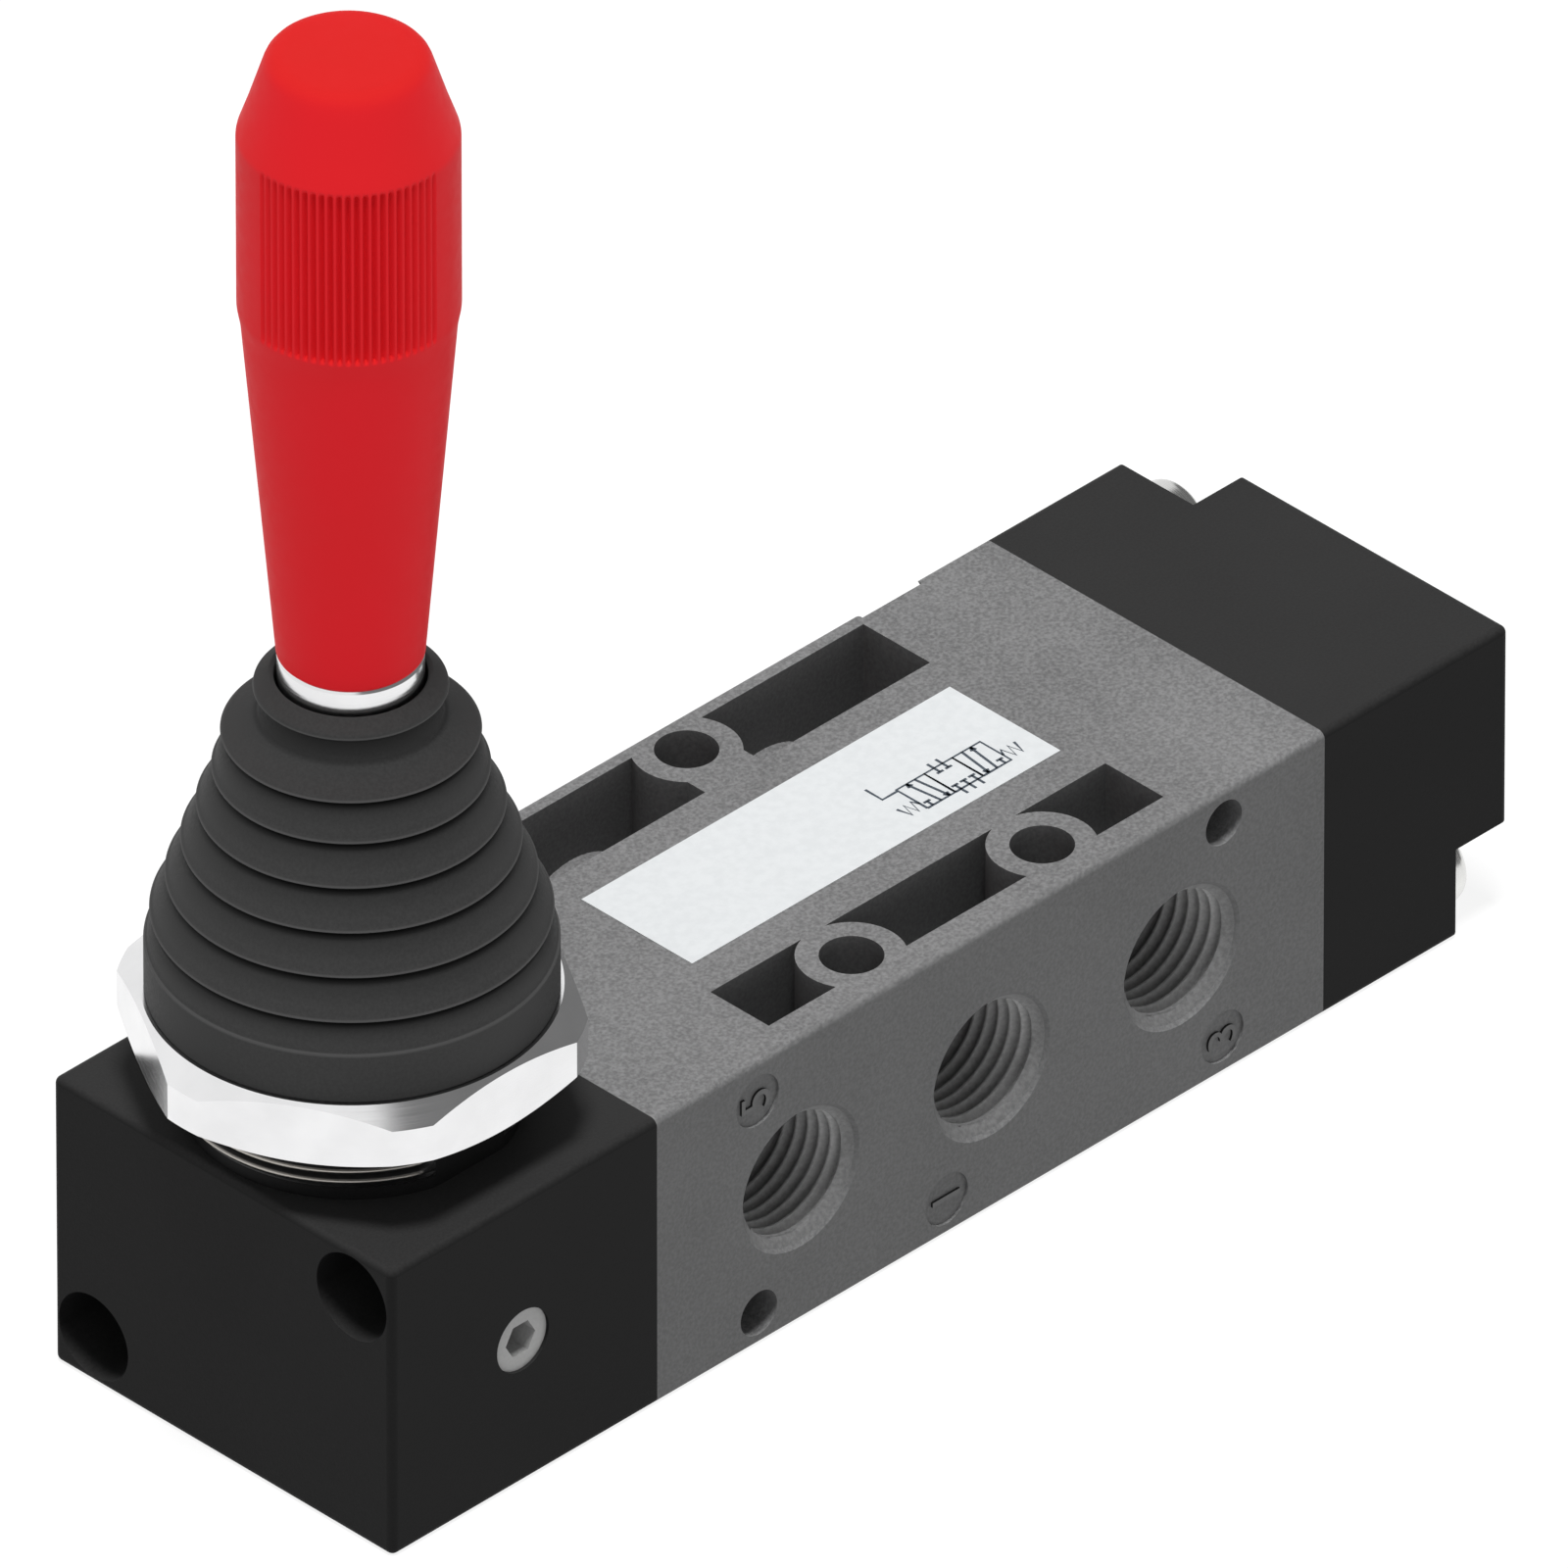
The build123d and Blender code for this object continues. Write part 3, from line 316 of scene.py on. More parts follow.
class Shape(Group):
    """A group of geometry nodes, with its sizes as inputs and a material for what it makes."""

    def __init__(self, name, sizes):
        super().__init__(name, "GeometryNodeTree", {"Geometry": "Geometry", **sizes, "Material": "Material"},
                         {"Geometry": "Geometry"})

    def geo(self, kind, sockets=None, **settings):
        """Add a geometry node, its kind given without those two words."""
        return self.add("GeometryNode" + kind, sockets, **settings)

    def copies(self, instance, rotation=(0.0, 0.0, 0.0)):
        """One copy of a form on each incoming point."""
        return self.geo("InstanceOnPoints", {
            "Points": self.start["Geometry"], "Instance": instance, "Rotation": rotation})

    def finish(self, geometry, sharp_degrees=32):
        """Realize, smooth with sharp edges kept, set the material and send it out."""
        solid = self.geo("RealizeInstances", {"Geometry": geometry})
        smooth = self.geo("SetShadeSmooth", {"Geometry": solid, "Shade Smooth": True}, domain="FACE")
        edge = self.geo("InputMeshEdgeAngle")["Unsigned Angle"]
        kept = self.geo("SetShadeSmooth", {
            "Geometry": smooth, "Selection": edge.op("GREATER_THAN", radians(sharp_degrees)),
            "Shade Smooth": False}, domain="EDGE")
        self.give(Geometry=self.geo("SetMaterial", {
            "Geometry": kept, "Material": self.start["Material"]}))


def new_object(name, data):
    """Object with its data, linked to the scene."""
    made = bpy.data.objects.new(name, data)
    bpy.context.scene.collection.objects.link(made)
    return made


def polyline(name, points, edges=None):
    """Mesh of points joined one to the next, or by the given edges, that a shape starts from."""
    mesh = bpy.data.meshes.new(name)
    if edges is None:
        edges = [(i, i + 1) for i in range(len(points) - 1)]
    mesh.from_pydata(points, edges, [])
    mesh.update()
    return mesh


def section(name, outline):
    """Mesh of an outline of (radius, height), upright at the axis."""
    return polyline(name, [(radius, 0.0, height) for radius, height in outline])


def spots(name, points, key, vectors):
    """Loose points, each with a vector as an attribute."""
    mesh = polyline(name, points, [])
    attribute = mesh.attributes.new(key, "FLOAT_VECTOR", "POINT")
    for item, vector in zip(attribute.data, vectors):
        item.vector = vector
    return mesh


def grow(name, mesh, shape, values):
    """Run a shape's nodes on a mesh and keep the result as one plain mesh object."""
    source = new_object(name + "_source", mesh)
    modifier = source.modifiers.new("Shape", "NODES")
    modifier.node_group = shape.tree
    names = {item.name: item.identifier for item in shape.tree.interface.items_tree if item.in_out == "INPUT"}
    for key, value in values.items():
        modifier[names[key]] = value
    source.update_tag()
    graph = bpy.context.evaluated_depsgraph_get()
    graph.update()
    made = bpy.data.meshes.new_from_object(source.evaluated_get(graph), depsgraph=graph)
    made.name = name
    bpy.data.objects.remove(source)
    if not made.polygons:
        raise RuntimeError(name + " came out empty")
    return new_object(name, made)


# Shader groups shared by the finishes


def surface_grain():
    """Fine moulded or cast grain: height for a bump and a mask for tone and roughness."""
    group = Group("surface_grain", "ShaderNodeTree", {"Cell": 0.0004, "Detail": 3.0},
                  {"Height": "Float", "Mask": "Float"})
    place = group.place()
    scale = 1.0 / group.start["Cell"]
    fine = group.noise(place, scale, group.start["Detail"], 0.6)["Fac"]
    wide = group.noise(place, scale * 0.23, 2.0)["Fac"]
    group.give(Height=wide.op("MULTIPLY_ADD", 0.35, fine), Mask=fine.ramp(0.36, 0.64))
    return group.tree


def upward_faces():
    """Mask of the surfaces that look up, which the finishes use for painted top light."""
    group = Group("upward_faces", "ShaderNodeTree", {"Least": 0.3}, {"Mask": "Float"})
    upward = group.split(group.place("Normal"))[2]
    group.give(Mask=upward.ramp(0.2, 0.9, group.start["Least"]))
    return group.tree


def slow_tone():
    """Slow change of tone over a surface, as from handling and dust."""
    group = Group("slow_tone", "ShaderNodeTree", {"Cell": 0.02}, {"Mask": "Float"})
    cloud = group.noise(group.place(), 1.0 / group.start["Cell"], 4.0, 0.55)["Fac"]
    group.give(Mask=cloud.ramp(0.35, 0.65))
    return group.tree


def lathe_marks():
    """Fine turning marks that run along one axis, from the distance along that axis."""
    group = Group("lathe_marks", "ShaderNodeTree", {"Along": (0.0, 0.0, 1.0), "Pitch": 0.0001},
                  {"Height": "Float", "Mask": "Float"})
    turns = group.along(group.place(), group.start["Along"]) / group.start["Pitch"]
    lines = group.add("ShaderNodeTexNoise", {"W": turns, "Scale": 1.0, "Detail": 2.0},
                      noise_dimensions="1D")["Fac"]
    group.give(Height=lines, Mask=lines.ramp(0.3, 0.7))
    return group.tree


# Finishes


class Finish(Nodes):
    """A material with short forms for its nodes. Colours are outputs, three numbers, or one for a grey."""

    def __init__(self, name, color, roughness, metallic=0.0, specular=0.5):
        self.material = bpy.data.materials.new("valve_" + name)
        self.material.use_nodes = True
        super().__init__(self.material.node_tree)
        self.set("Base Color", self.rgba(color))
        self.set("Roughness", roughness)
        self.set("Metallic", metallic)
        self.set("Specular IOR Level", specular)

    def set(self, key, value):
        """Set or link one input of the Principled node."""
        self.plug(value, self.tree.nodes["Principled BSDF"].inputs[key])

    def rgba(self, color):
        """A colour as a socket takes it."""
        if isinstance(color, Value):
            return color
        return (color, color, color, 1.0) if isinstance(color, float) else (*color, 1.0)

    def group(self, maker, **values):
        """Add the shared group that a function makes, and names after itself, with its values."""
        tree = bpy.data.node_groups.get(maker.__name__) or maker()
        return self.add("ShaderNodeGroup", values, node_tree=tree)

    def mix(self, mask, dark, light):
        """Colour that runs between two colours by a mask."""
        colors = {0: mask, 6: self.rgba(dark), 7: self.rgba(light)}
        mixed = self.add("ShaderNodeMix", colors, data_type="RGBA")
        return Value(self, mixed.socket.node.outputs[2])

    def tones(self, mask, dark, light):
        """Base colour that runs between two colours by a mask."""
        self.set("Base Color", self.mix(mask, dark, light))

    def relief(self, source, roughness, depth=0.0):
        """Roughness in a range by a group's mask, and bump in metres from its height."""
        self.set("Roughness", source["Mask"].ramp(0.0, 1.0, *roughness))
        if depth:
            self.set("Normal", self.add("ShaderNodeBump", {
                "Height": source["Height"], "Distance": depth, "Strength": 1.0}))


def grained(name, dark, light, roughness, cell, depth, specular=0.5, detail=3.0, painted_top_light=0.0):
    """Cast, moulded or rubber finish with grain and painted top light: upward faces are painted lighter by a
    given share and show their grain more than the upright faces.
    """
    least = 0.35
    finish = Finish(name, light, roughness[0], specular=specular)
    grain = finish.group(surface_grain, Cell=cell, Detail=detail)
    cloud = finish.group(slow_tone, Cell=0.018)
    upward = finish.group(upward_faces, Least=least)["Mask"]
    mixed = cloud["Mask"].op("MULTIPLY_ADD", 0.25, grain["Mask"] * 0.75)
    # Painted top light: the middle tone is darker on upright faces and lighter on upward ones, and the
    # grain's spread grows on upward faces.
    middle = upward.ramp(least, 1.0, 0.5 - painted_top_light / 2, 0.5 + painted_top_light / 2)
    spread = (mixed - 0.5) * upward
    finish.tones(spread.op("MULTIPLY_ADD", 1.0 - painted_top_light, middle), dark, light)
    finish.relief(grain, roughness, depth)


def turned_metal(name, dark, light, roughness, along, pitch=0.00012, depth=0.000004):
    """Turned, drawn or plated metal with fine marks along an axis."""
    finish = Finish(name, light, roughness[0], metallic=1.0)
    marks = finish.group(lathe_marks, Along=along, Pitch=pitch)
    finish.tones(finish.group(slow_tone, Cell=0.006)["Mask"], dark, light)
    finish.relief(marks, roughness, depth)


def neck_thread_finish(axis_x, crest):
    """Blackened thread with bare metal on the crests, by the distance from the lever axis."""
    finish = Finish("neck_thread_worn", 0.02, 0.5)
    x, y, _ = finish.split(finish.place())
    across = x - axis_x
    radius = across.op("MULTIPLY_ADD", across, y * y).op("SQRT")
    bare = radius.ramp(crest - 0.22 * MM, crest - 0.08 * MM)
    finish.tones(bare, 0.008, (0.42, 0.40, 0.37))
    finish.set("Metallic", bare)
    finish.relief(finish.group(surface_grain, Cell=0.0004, Detail=3.0), (0.3, 0.5))
    return finish.material


def port_thread_finish(mouth):
    """Coated countersink, then bare machined metal in the thread, by the distance across the valve; the
    thread is also painted paler as painted light inside the port, with painted shade in its roots.
    """
    finish = Finish("port_thread_bare", 0.5, 0.5, specular=0.10)
    across = abs(finish.split(finish.place())[1])
    grain = finish.group(surface_grain, Cell=0.0004, Detail=4.0)
    coated = finish.mix(grain["Mask"], (0.185, 0.1855, 0.186), (0.255, 0.256, 0.257))
    # The thread's paler tone is partly bare metal and partly painted light standing in for light inside the
    # port.
    metal = finish.mix(grain["Mask"], 0.37, 0.47)
    both = finish.mix(across.ramp(mouth + 0.02 * MM, mouth - 0.9 * MM), coated, metal)
    # Painted shade: the thread's roots are darker than its crests.
    root_shade = finish.add("ShaderNodeAttribute", attribute_name="crest")["Fac"].ramp(0.0, 1.0, 0.74, 1.0)
    finish.set("Base Color", finish.add("ShaderNodeVectorMath", {0: both, "Scale": root_shade}, operation="SCALE"))
    finish.relief(grain, (0.45, 0.60), 0.000010)
    return finish.material


def boot_finish():
    """Rubber with a painted highlight on each rim and on the band's edge, and painted shade in the fold under
    each rim, by a per-point attribute.
    """
    finish = Finish("boot_rubber", 0.04, 0.6, specular=0.10)
    grain = finish.group(surface_grain, Cell=0.0003, Detail=3.0)
    wear = finish.add("ShaderNodeAttribute", attribute_name="wear")["Fac"]
    # Painted shade darkens the fold under each rim; a painted highlight lightens each rim.
    fold_shaded = finish.mix(wear.ramp(0.0, 0.55), 0.014, finish.mix(grain["Mask"], 0.037, 0.045))
    finish.tones(wear.ramp(0.70, 1.0), fold_shaded, 0.070)
    finish.relief(grain, (0.55, 0.70), 0.000008)


def number_finish():
    """Casting grey on the face of a number and painted shade on its side walls, by the way that the surface
    looks.
    """
    finish = Finish("port_number", 0.14, 0.6, specular=0.10)
    grain = finish.group(surface_grain, Cell=0.00046, Detail=4.0)
    plain = finish.mix(grain["Mask"], (0.118, 0.1185, 0.119), (0.140, 0.1405, 0.141))
    face = abs(finish.split(finish.place("Normal"))[1]).ramp(0.5, 0.95)
    # Painted shade: the number's side walls are dark.
    finish.tones(face, 0.010, plain)
    finish.relief(grain, (0.55, 0.70), 0.000020)
    return finish.material


def even(name, color, roughness, specular, cell, dark, light, depth=0.0):
    """Film or ink whose tone hardly changes."""
    finish = Finish(name, color, sum(roughness) / 2, specular=specular)
    grain = finish.group(surface_grain, Cell=cell, Detail=2.0)
    finish.tones(grain["Mask"], dark, light)
    finish.relief(grain, roughness, depth)
    return finish.material


def red_finish():
    """Satin red moulding with a slight orange peel and painted light: the upright sides are painted lighter
    and the faces that look up darker.
    """
    finish = Finish("red_moulding", (0.80, 0.010, 0.014), 0.50, specular=0.03)
    grain = finish.group(surface_grain, Cell=0.0011, Detail=1.0)
    cloud = finish.group(slow_tone, Cell=0.012)["Mask"]
    upward = finish.group(upward_faces, Least=0.0)["Mask"]
    # Painted light: the upright sides take the lighter red and the upward faces the darker one.
    finish.tones(upward.op("MULTIPLY_ADD", 0.8, cloud * 0.2), (0.78, 0.016, 0.024), (0.68, 0.021, 0.020))
    finish.relief(grain, (0.46, 0.54), 0.000006)


def floor_finish(glow):
    """Pale paper that glows like a light table."""
    finish = Finish("floor_paper", 0.2, 0.9, specular=0.0)
    finish.tones(finish.group(slow_tone, Cell=0.5)["Mask"], 0.195, 0.205)
    finish.set("Emission Color", (1.0, 1.0, 1.0, 1.0))
    finish.set("Emission Strength", glow)
    return finish.material


def make_finishes():
    """All finishes of the CAD nodes, by the record's slot names."""
    up = (0.0, 0.0, 1.0)
    along = (1.0, 0.0, 0.0)
    # The share at the end of the casting, the black moulding and the dull zinc is painted top light: how much
    # lighter their upward faces are painted.
    grained("grey_casting", (0.062, 0.0623, 0.0626), (0.270, 0.271, 0.273), (0.55, 0.70), 0.00034, 0.000016,
            0.10, 4.0, painted_top_light=0.36)
    grained("black_moulding", (0.0060, 0.0060, 0.0061), (0.0353, 0.0351, 0.0351), (0.50, 0.62), 0.00025,
            0.000012, 0.06, painted_top_light=0.7)
    grained("acetal", (0.68, 0.68, 0.66), (0.74, 0.74, 0.72), (0.35, 0.45), 0.0006, 0.000004)
    boot_finish()
    grained("seal_rubber", 0.010, 0.016, (0.4, 0.5), 0.0003, 0.000004)
    turned_metal("spring_steel", (0.36, 0.36, 0.37), (0.46, 0.46, 0.47), (0.25, 0.4), along)
    turned_metal("turned_steel", 0.48, 0.58, (0.22, 0.36), up)
    turned_metal("zinc_plated_steel", (0.66, 0.66, 0.65), (0.78, 0.78, 0.76), (0.18, 0.30), along)
    grained("dull_zinc", (0.31, 0.31, 0.308), (0.43, 0.43, 0.426), (0.35, 0.50), 0.0003, 0.000004, 0.15,
            painted_top_light=0.1)
    turned_metal("nickel_plate", (0.76, 0.76, 0.766), (0.82, 0.82, 0.826), (0.12, 0.20), up, 0.00015,
                 0.0000015)
    turned_metal("spool_aluminium", (0.70, 0.70, 0.71), (0.78, 0.78, 0.79), (0.18, 0.30), along)
    turned_metal("insert_brass", (0.60, 0.44, 0.18), (0.74, 0.56, 0.26), (0.2, 0.34), up)
    red_finish()
    even("label_film", (0.80, 0.83, 0.84), (0.28, 0.42), 0.15, 0.0009, (0.70, 0.725, 0.735),
         (0.74, 0.765, 0.775), 0.000002)


def finish_of(name):
    """A finish by its name."""
    material = bpy.data.materials.get("valve_" + name)
    if material is None:
        raise RuntimeError("no finish named " + name + "; make the finishes first")
    return material


# Shapes made by geometry nodes


def sheet(shape, rows):
    """Grid to be wrapped round an axis: its mesh, and the share of a turn and the row of each point."""
    grid = shape.geo("MeshGrid", {
        "Size X": 1.0, "Size Y": 1.0, "Vertices X": shape.start["Segments"] + 1.0, "Vertices Y": rows})
    x, y, _ = shape.split(shape.geo("InputPosition"))
    return grid, x + 0.5, ((y + 0.5) * (rows - 1.0)).op("ROUND")


def wrapped(shape, grid, spot, weld):
    """The grid's points moved to their spots, and its seams welded."""
    moved = shape.geo("SetPosition", {
        "Geometry": grid, "Position": shape.add("ShaderNodeCombineXYZ", dict(zip("XYZ", spot)))})
    return shape.geo("MergeByDistance", {"Geometry": moved, "Distance": weld})


def turned_shape(flutes=False):
    """Sweeps an outline of radius and height round a vertical axis, with flutes where asked."""
    sizes = {"Segments": 96, "Axis X": 0.0}
    if flutes:
        sizes.update({"Flute Pitch": 0.08, "Flutes": 19, "Flute Depth": 0.0002, "Flute Share": 0.6,
                      "Facing": 0.0, "Low": 0.0, "High": 0.0, "Floor Radius": 0.0})
    shape = Shape("fluted_turning" if flutes else "turning", sizes)
    outline = shape.start["Geometry"]
    rows = shape.geo("AttributeDomainSize", {"Geometry": outline}, component="MESH")["Point Count"]
    grid, share, row = sheet(shape, rows)
    turn = share * tau
    sample = shape.geo("SampleIndex", {
        "Geometry": outline, "Index": row, "Value": shape.geo("InputPosition")},
        data_type="FLOAT_VECTOR", domain="POINT")
    radius, _, height = shape.split(sample)
    if flutes:
        radius = radius - flute_depth(shape, turn, radius, height)
    x = radius.op("MULTIPLY_ADD", turn.op("COSINE"), shape.start["Axis X"])
    shape.finish(wrapped(shape, grid, (x, radius * turn.op("SINE"), height), 1e-6))
    return shape


def flute_depth(shape, turn, radius, height):
    """How deep the flutes are at an angle and height: two fans of flutes, shallower at their sides."""
    run_out = 0.4 * MM
    pitch, low, high = (shape.start[name] for name in ("Flute Pitch", "Low", "High"))
    side = (turn - shape.start["Facing"]).op("WRAP", pi / 2, -pi / 2)
    step = (side / pitch).op("ROUND")
    reach = (shape.start["Flutes"] - 1.0) / 2.0
    inside = abs(step).op("LESS_THAN", reach + 0.5)
    share = abs(side / pitch - step) / (shape.start["Flute Share"] * 0.5)
    hollow = (1.0 - share * share).op("MAXIMUM", 0.0)
    fade = (step * pitch).op("COSINE").op("MAXIMUM", 0.0)
    grip = height.ramp(low, low + run_out) * height.ramp(high, high - run_out)
    outside = radius.op("GREATER_THAN", shape.start["Floor Radius"])
    return hollow * fade * (grip * inside) * outside * shape.start["Flute Depth"]


def thread_shape(inside):
    """Closed threaded sleeve on points, round a rod or in a hole with a countersunk mouth."""
    shape = Shape("hole_threads" if inside else "rod_threads", {
        "Segments": 96, "Root Radius": 0.01, "Crest Radius": 0.011, "Back Radius": 0.009, "Pitch": 0.001,
        "Length": 0.01, "Flat": 1.0})
    root, crest, back, pitch, reach, flat = (shape.start[name] for name in (
        "Root Radius", "Crest Radius", "Back Radius", "Pitch", "Length", "Flat"))
    # The rows follow a helix. One row before them and two after close the sleeve.
    per_pitch = 12.0
    rows = ((reach / pitch).op("CEIL") + 1.0) * per_pitch
    grid, share, row = sheet(shape, rows + 4.0)
    row = row - 1.0
    step = row / per_pitch
    height = (step + share - 1.0) * pitch
    # A ridge in each pitch, which runs out at the far end and fades or flares at the mouth
    ridge = (1.0 - abs(step.op("FRACT") * 2.0 - 1.0)).ramp(0.10, 0.86)
    held = height.op("MAXIMUM", 0.0).op("MINIMUM", reach)
    tail = ((reach - held) / (pitch * 0.5)).op("MINIMUM", 1.0)
    span = abs(crest - root)
    mouth = (held / span).op("MINIMUM", 1.0)
    cut = ridge * tail
    lift = cut.toward(mouth, held.op("LESS_THAN", span)) if inside else cut.op("MINIMUM", mouth)
    radius = root.toward(crest, lift)
    first = row.op("LESS_THAN", -0.5)
    last = row.op("GREATER_THAN", rows + 0.5)
    closing = row.op("GREATER_THAN", rows + 1.5)
    radius = radius.toward(back, first.op("MAXIMUM", last))
    shown = held * (1.0 - first.op("MAXIMUM", closing))
    shown = shown.toward(reach, last - closing)
    turn = share * tau
    across = (radius * turn.op("SINE")).op("MAXIMUM", flat * -1.0).op("MINIMUM", flat)
    marked = shape.geo("StoreNamedAttribute", {"Geometry": grid, "Name": "crest", "Value": lift})
    sleeve = wrapped(shape, marked, (radius * turn.op("COSINE"), across, shown), 1e-7)
    if inside:
        sleeve = shape.geo("FlipFaces", {"Mesh": sleeve})
    way = shape.geo("InputNamedAttribute", {"Name": "way"}, data_type="FLOAT_VECTOR")
    aimed = shape.add("FunctionNodeAlignRotationToVector", {"Vector": way}, axis="Z")
    shape.finish(shape.copies(sleeve, aimed), 25)
    return shape


def spring_shape():
    """Coil springs along X, one from each point."""
    shape = Shape("coil_springs", {"Turns": 4.0, "Mean Radius": 0.005, "Length": 0.01, "Wire": 0.001})
    start = shape.start
    coil = shape.geo("CurveSpiral", {
        "Resolution": 40, "Rotations": start["Turns"], "Start Radius": start["Mean Radius"],
        "End Radius": start["Mean Radius"], "Height": start["Length"]})
    round_wire = shape.geo("CurvePrimitiveCircle", {"Resolution": 12, "Radius": start["Wire"] * 0.5})
    wound = shape.geo("CurveToMesh", {"Curve": coil, "Profile Curve": round_wire, "Fill Caps": True})
    laid = shape.geo("Transform", {"Geometry": wound, "Rotation": (0.0, tau / 4, 0.0)})
    shape.finish(shape.copies(laid), 50)
    return shape


def ink_shape():
    """Turns edges into flat printed lines of one width."""
    shape = Shape("printed_lines", {"Width": 0.0002, "Thickness": 0.00002})
    curve = shape.geo("MeshToCurve", {"Mesh": shape.start["Geometry"]})
    level = shape.geo("SetCurveNormal", {"Curve": curve}, mode="Z_UP")
    profile = shape.geo("CurvePrimitiveQuadrilateral", {
        "Width": shape.start["Width"], "Height": shape.start["Thickness"]})
    shape.finish(shape.geo("CurveToMesh", {
        "Curve": level, "Profile Curve": profile, "Fill Caps": True}))
    return shape


def number_shape():
    """Raised numbers, one on each point, turned by the point's attribute."""
    text_size = 1.4  # of a number's height
    shape = Shape("raised_numbers", {"Text": "String", "Height": 0.003, "Rise": 0.0003})
    text = shape.geo("StringToCurves", {
        "String": shape.start["Text"], "Size": shape.start["Height"] * text_size},
        align_x="CENTER", align_y="MIDDLE")
    face = shape.geo("RealizeInstances", {
        "Geometry": shape.geo("FillCurve", {"Curve": text})})
    raised = shape.geo("ExtrudeMesh", {
        "Mesh": face, "Offset Scale": shape.start["Rise"], "Individual": False})
    base = shape.geo("FlipFaces", {"Mesh": face})
    closed = shape.geo("JoinGeometry", {0: [raised, base]})
    welded = shape.geo("MergeByDistance", {"Geometry": closed, "Distance": 1e-7})
    turn = shape.geo("InputNamedAttribute", {"Name": "turn"}, data_type="FLOAT_VECTOR")
    shape.finish(shape.copies(welded, shape.add("FunctionNodeEulerToRotation", {0: turn})))
    return shape


# Outlines. The tables give points in millimetres as (radius, height, corner), from a station of the piece.

BOOT_BAND_EDGE = ((0.0, -0.3, 0.05), (0.0, 0.0, 0.06), (-0.25, 0.15, 0.1))
BOOT_RIM = ((-0.02, -0.02, 0.04), (0.0, 0.08, 0.06), (-0.3, 0.35, 0.15))
BOOT_LIP = ((7.7, 27.5, 0.25), (7.72, 29.9, 0.2), (8.15, 30.2, 0.08), (8.05, 30.6, 0.15))
BOOT_MOUTH = ((0.35, 31.55, 0.2), (0.0, 31.4, 0.1))
BOOT_LIP_RIM = 30.25
BOOT_GRIP_END = ((0.0, 27.7, 0.3),)
FOOT_CORNER, FOLD_CORNER, GROOVE_CORNER, WALL_FOLD_CORNER = 0.25, 0.15, 0.3, 0.4
RIM_OVERHANG = 0.3

# Painted light on the boot's rubber: the painted highlight on a rim and the band's edge, the level of the
# unshaded band, how far over and under a rim or an edge the highlight reaches, and the painted shade under a
# rim, in millimetres
RIM_HIGHLIGHT, EDGE_HIGHLIGHT, UNSHADED_BAND = 1.0, 0.95, 0.62
RIM_REACH_UP, RIM_REACH_DOWN, EDGE_REACH = 0.2, 0.1, 0.12
SHADE_END, SHADE_FADE = 0.5, 0.7

KNOB_TOP = 59.99
KNOB_SIDE = ((6.2, 0, 0.35), (9.0, 33.4, 0.5), (9.3, 35.0, 0.35), (9.3, 52.0, 0.4), (8.4, 54.6, 0.5),
             (6.7, KNOB_TOP, 1.3))


def shifted(points, radius, height):
    """Points of a table, placed from a radius and a height in metres."""
    return [(radius + x * MM, height + z * MM, corner * MM) for x, z, corner in points]


def rounded(points, steps=4):
    """Outline with each inner point's corner rounded, as far as the sides allow."""
    result = [points[0]]
    for before, corner, after in zip(points, points[1:], points[2:]):
        here = Vector(corner[:2])
        back = Vector(before[:2]) - here
        ahead = Vector(after[:2]) - here
        cut = min(corner[2], back.length * 0.45, ahead.length * 0.45)
        start = here + back.normalized() * cut
        finish = here + ahead.normalized() * cut
        for step in range(steps + 1):
            t = step / steps
            spot = start * (1 - t) ** 2 + here * 2 * t * (1 - t) + finish * t ** 2
            result.append((spot.x, spot.y))
    result.append(points[-1])
    return result


def boot_ridges(sizes):
    """Radius and height of each pleat's rim, from the lowest up."""
    return [(max(sizes.ridge_radius - index * sizes.step_in, sizes.top_radius),
             sizes.bottom + sizes.ridge_rise + index * sizes.step_up) for index in range(sizes.pleats)]


def boot_outline(sizes):
    """Closed outline of the boot's section as (radius, height), outside up and inside down."""
    band_top = sizes.bottom + sizes.band_height
    start = (sizes.inner_radius, sizes.bottom)
    outer = [start, (sizes.band_radius, sizes.bottom, FOOT_CORNER * MM)]
    outer += shifted(BOOT_BAND_EDGE, sizes.band_radius, band_top)
    inner = [(sizes.inner_radius, band_top, GROOVE_CORNER * MM)]
    for radius, height in boot_ridges(sizes):
        fold = radius - sizes.pleat_depth
        outer.append((radius - RIM_OVERHANG * MM, height - sizes.gap, GROOVE_CORNER * MM))
        outer.append((fold, height - sizes.undercut, FOLD_CORNER * MM))
        outer += shifted(BOOT_RIM, radius, height)
        inner.append((fold - sizes.wall, height - sizes.undercut + sizes.wall / 4, WALL_FOLD_CORNER * MM))
        inner.append((radius - sizes.wall, height + sizes.wall / 4, GROOVE_CORNER * MM))
    outer += shifted(BOOT_LIP, 0.0, sizes.bottom) + shifted(BOOT_MOUTH, sizes.grip_radius, sizes.bottom)
    inner += shifted(BOOT_GRIP_END, sizes.grip_radius, sizes.bottom)
    return rounded(outer + inner[::-1] + [start])


def wear_at(height, sizes):
    """Painted light on the boot's rubber at a height: a painted highlight on a rim and the band's edge,
    painted shade in the fold under a rim.
    """
    rims = [rim for _, rim in boot_ridges(sizes)] + [sizes.bottom + BOOT_LIP_RIM * MM]
    if any(-RIM_REACH_DOWN * MM < height - rim < RIM_REACH_UP * MM for rim in rims):
        return RIM_HIGHLIGHT
    if abs(height - sizes.bottom - sizes.band_height) < EDGE_REACH * MM:
        return EDGE_HIGHLIGHT
    below = min([rim - height for rim in rims if rim > height], default=1.0)
    return UNSHADED_BAND * min(max((below - SHADE_END * MM) / (SHADE_FADE * MM), 0.0), 1.0)


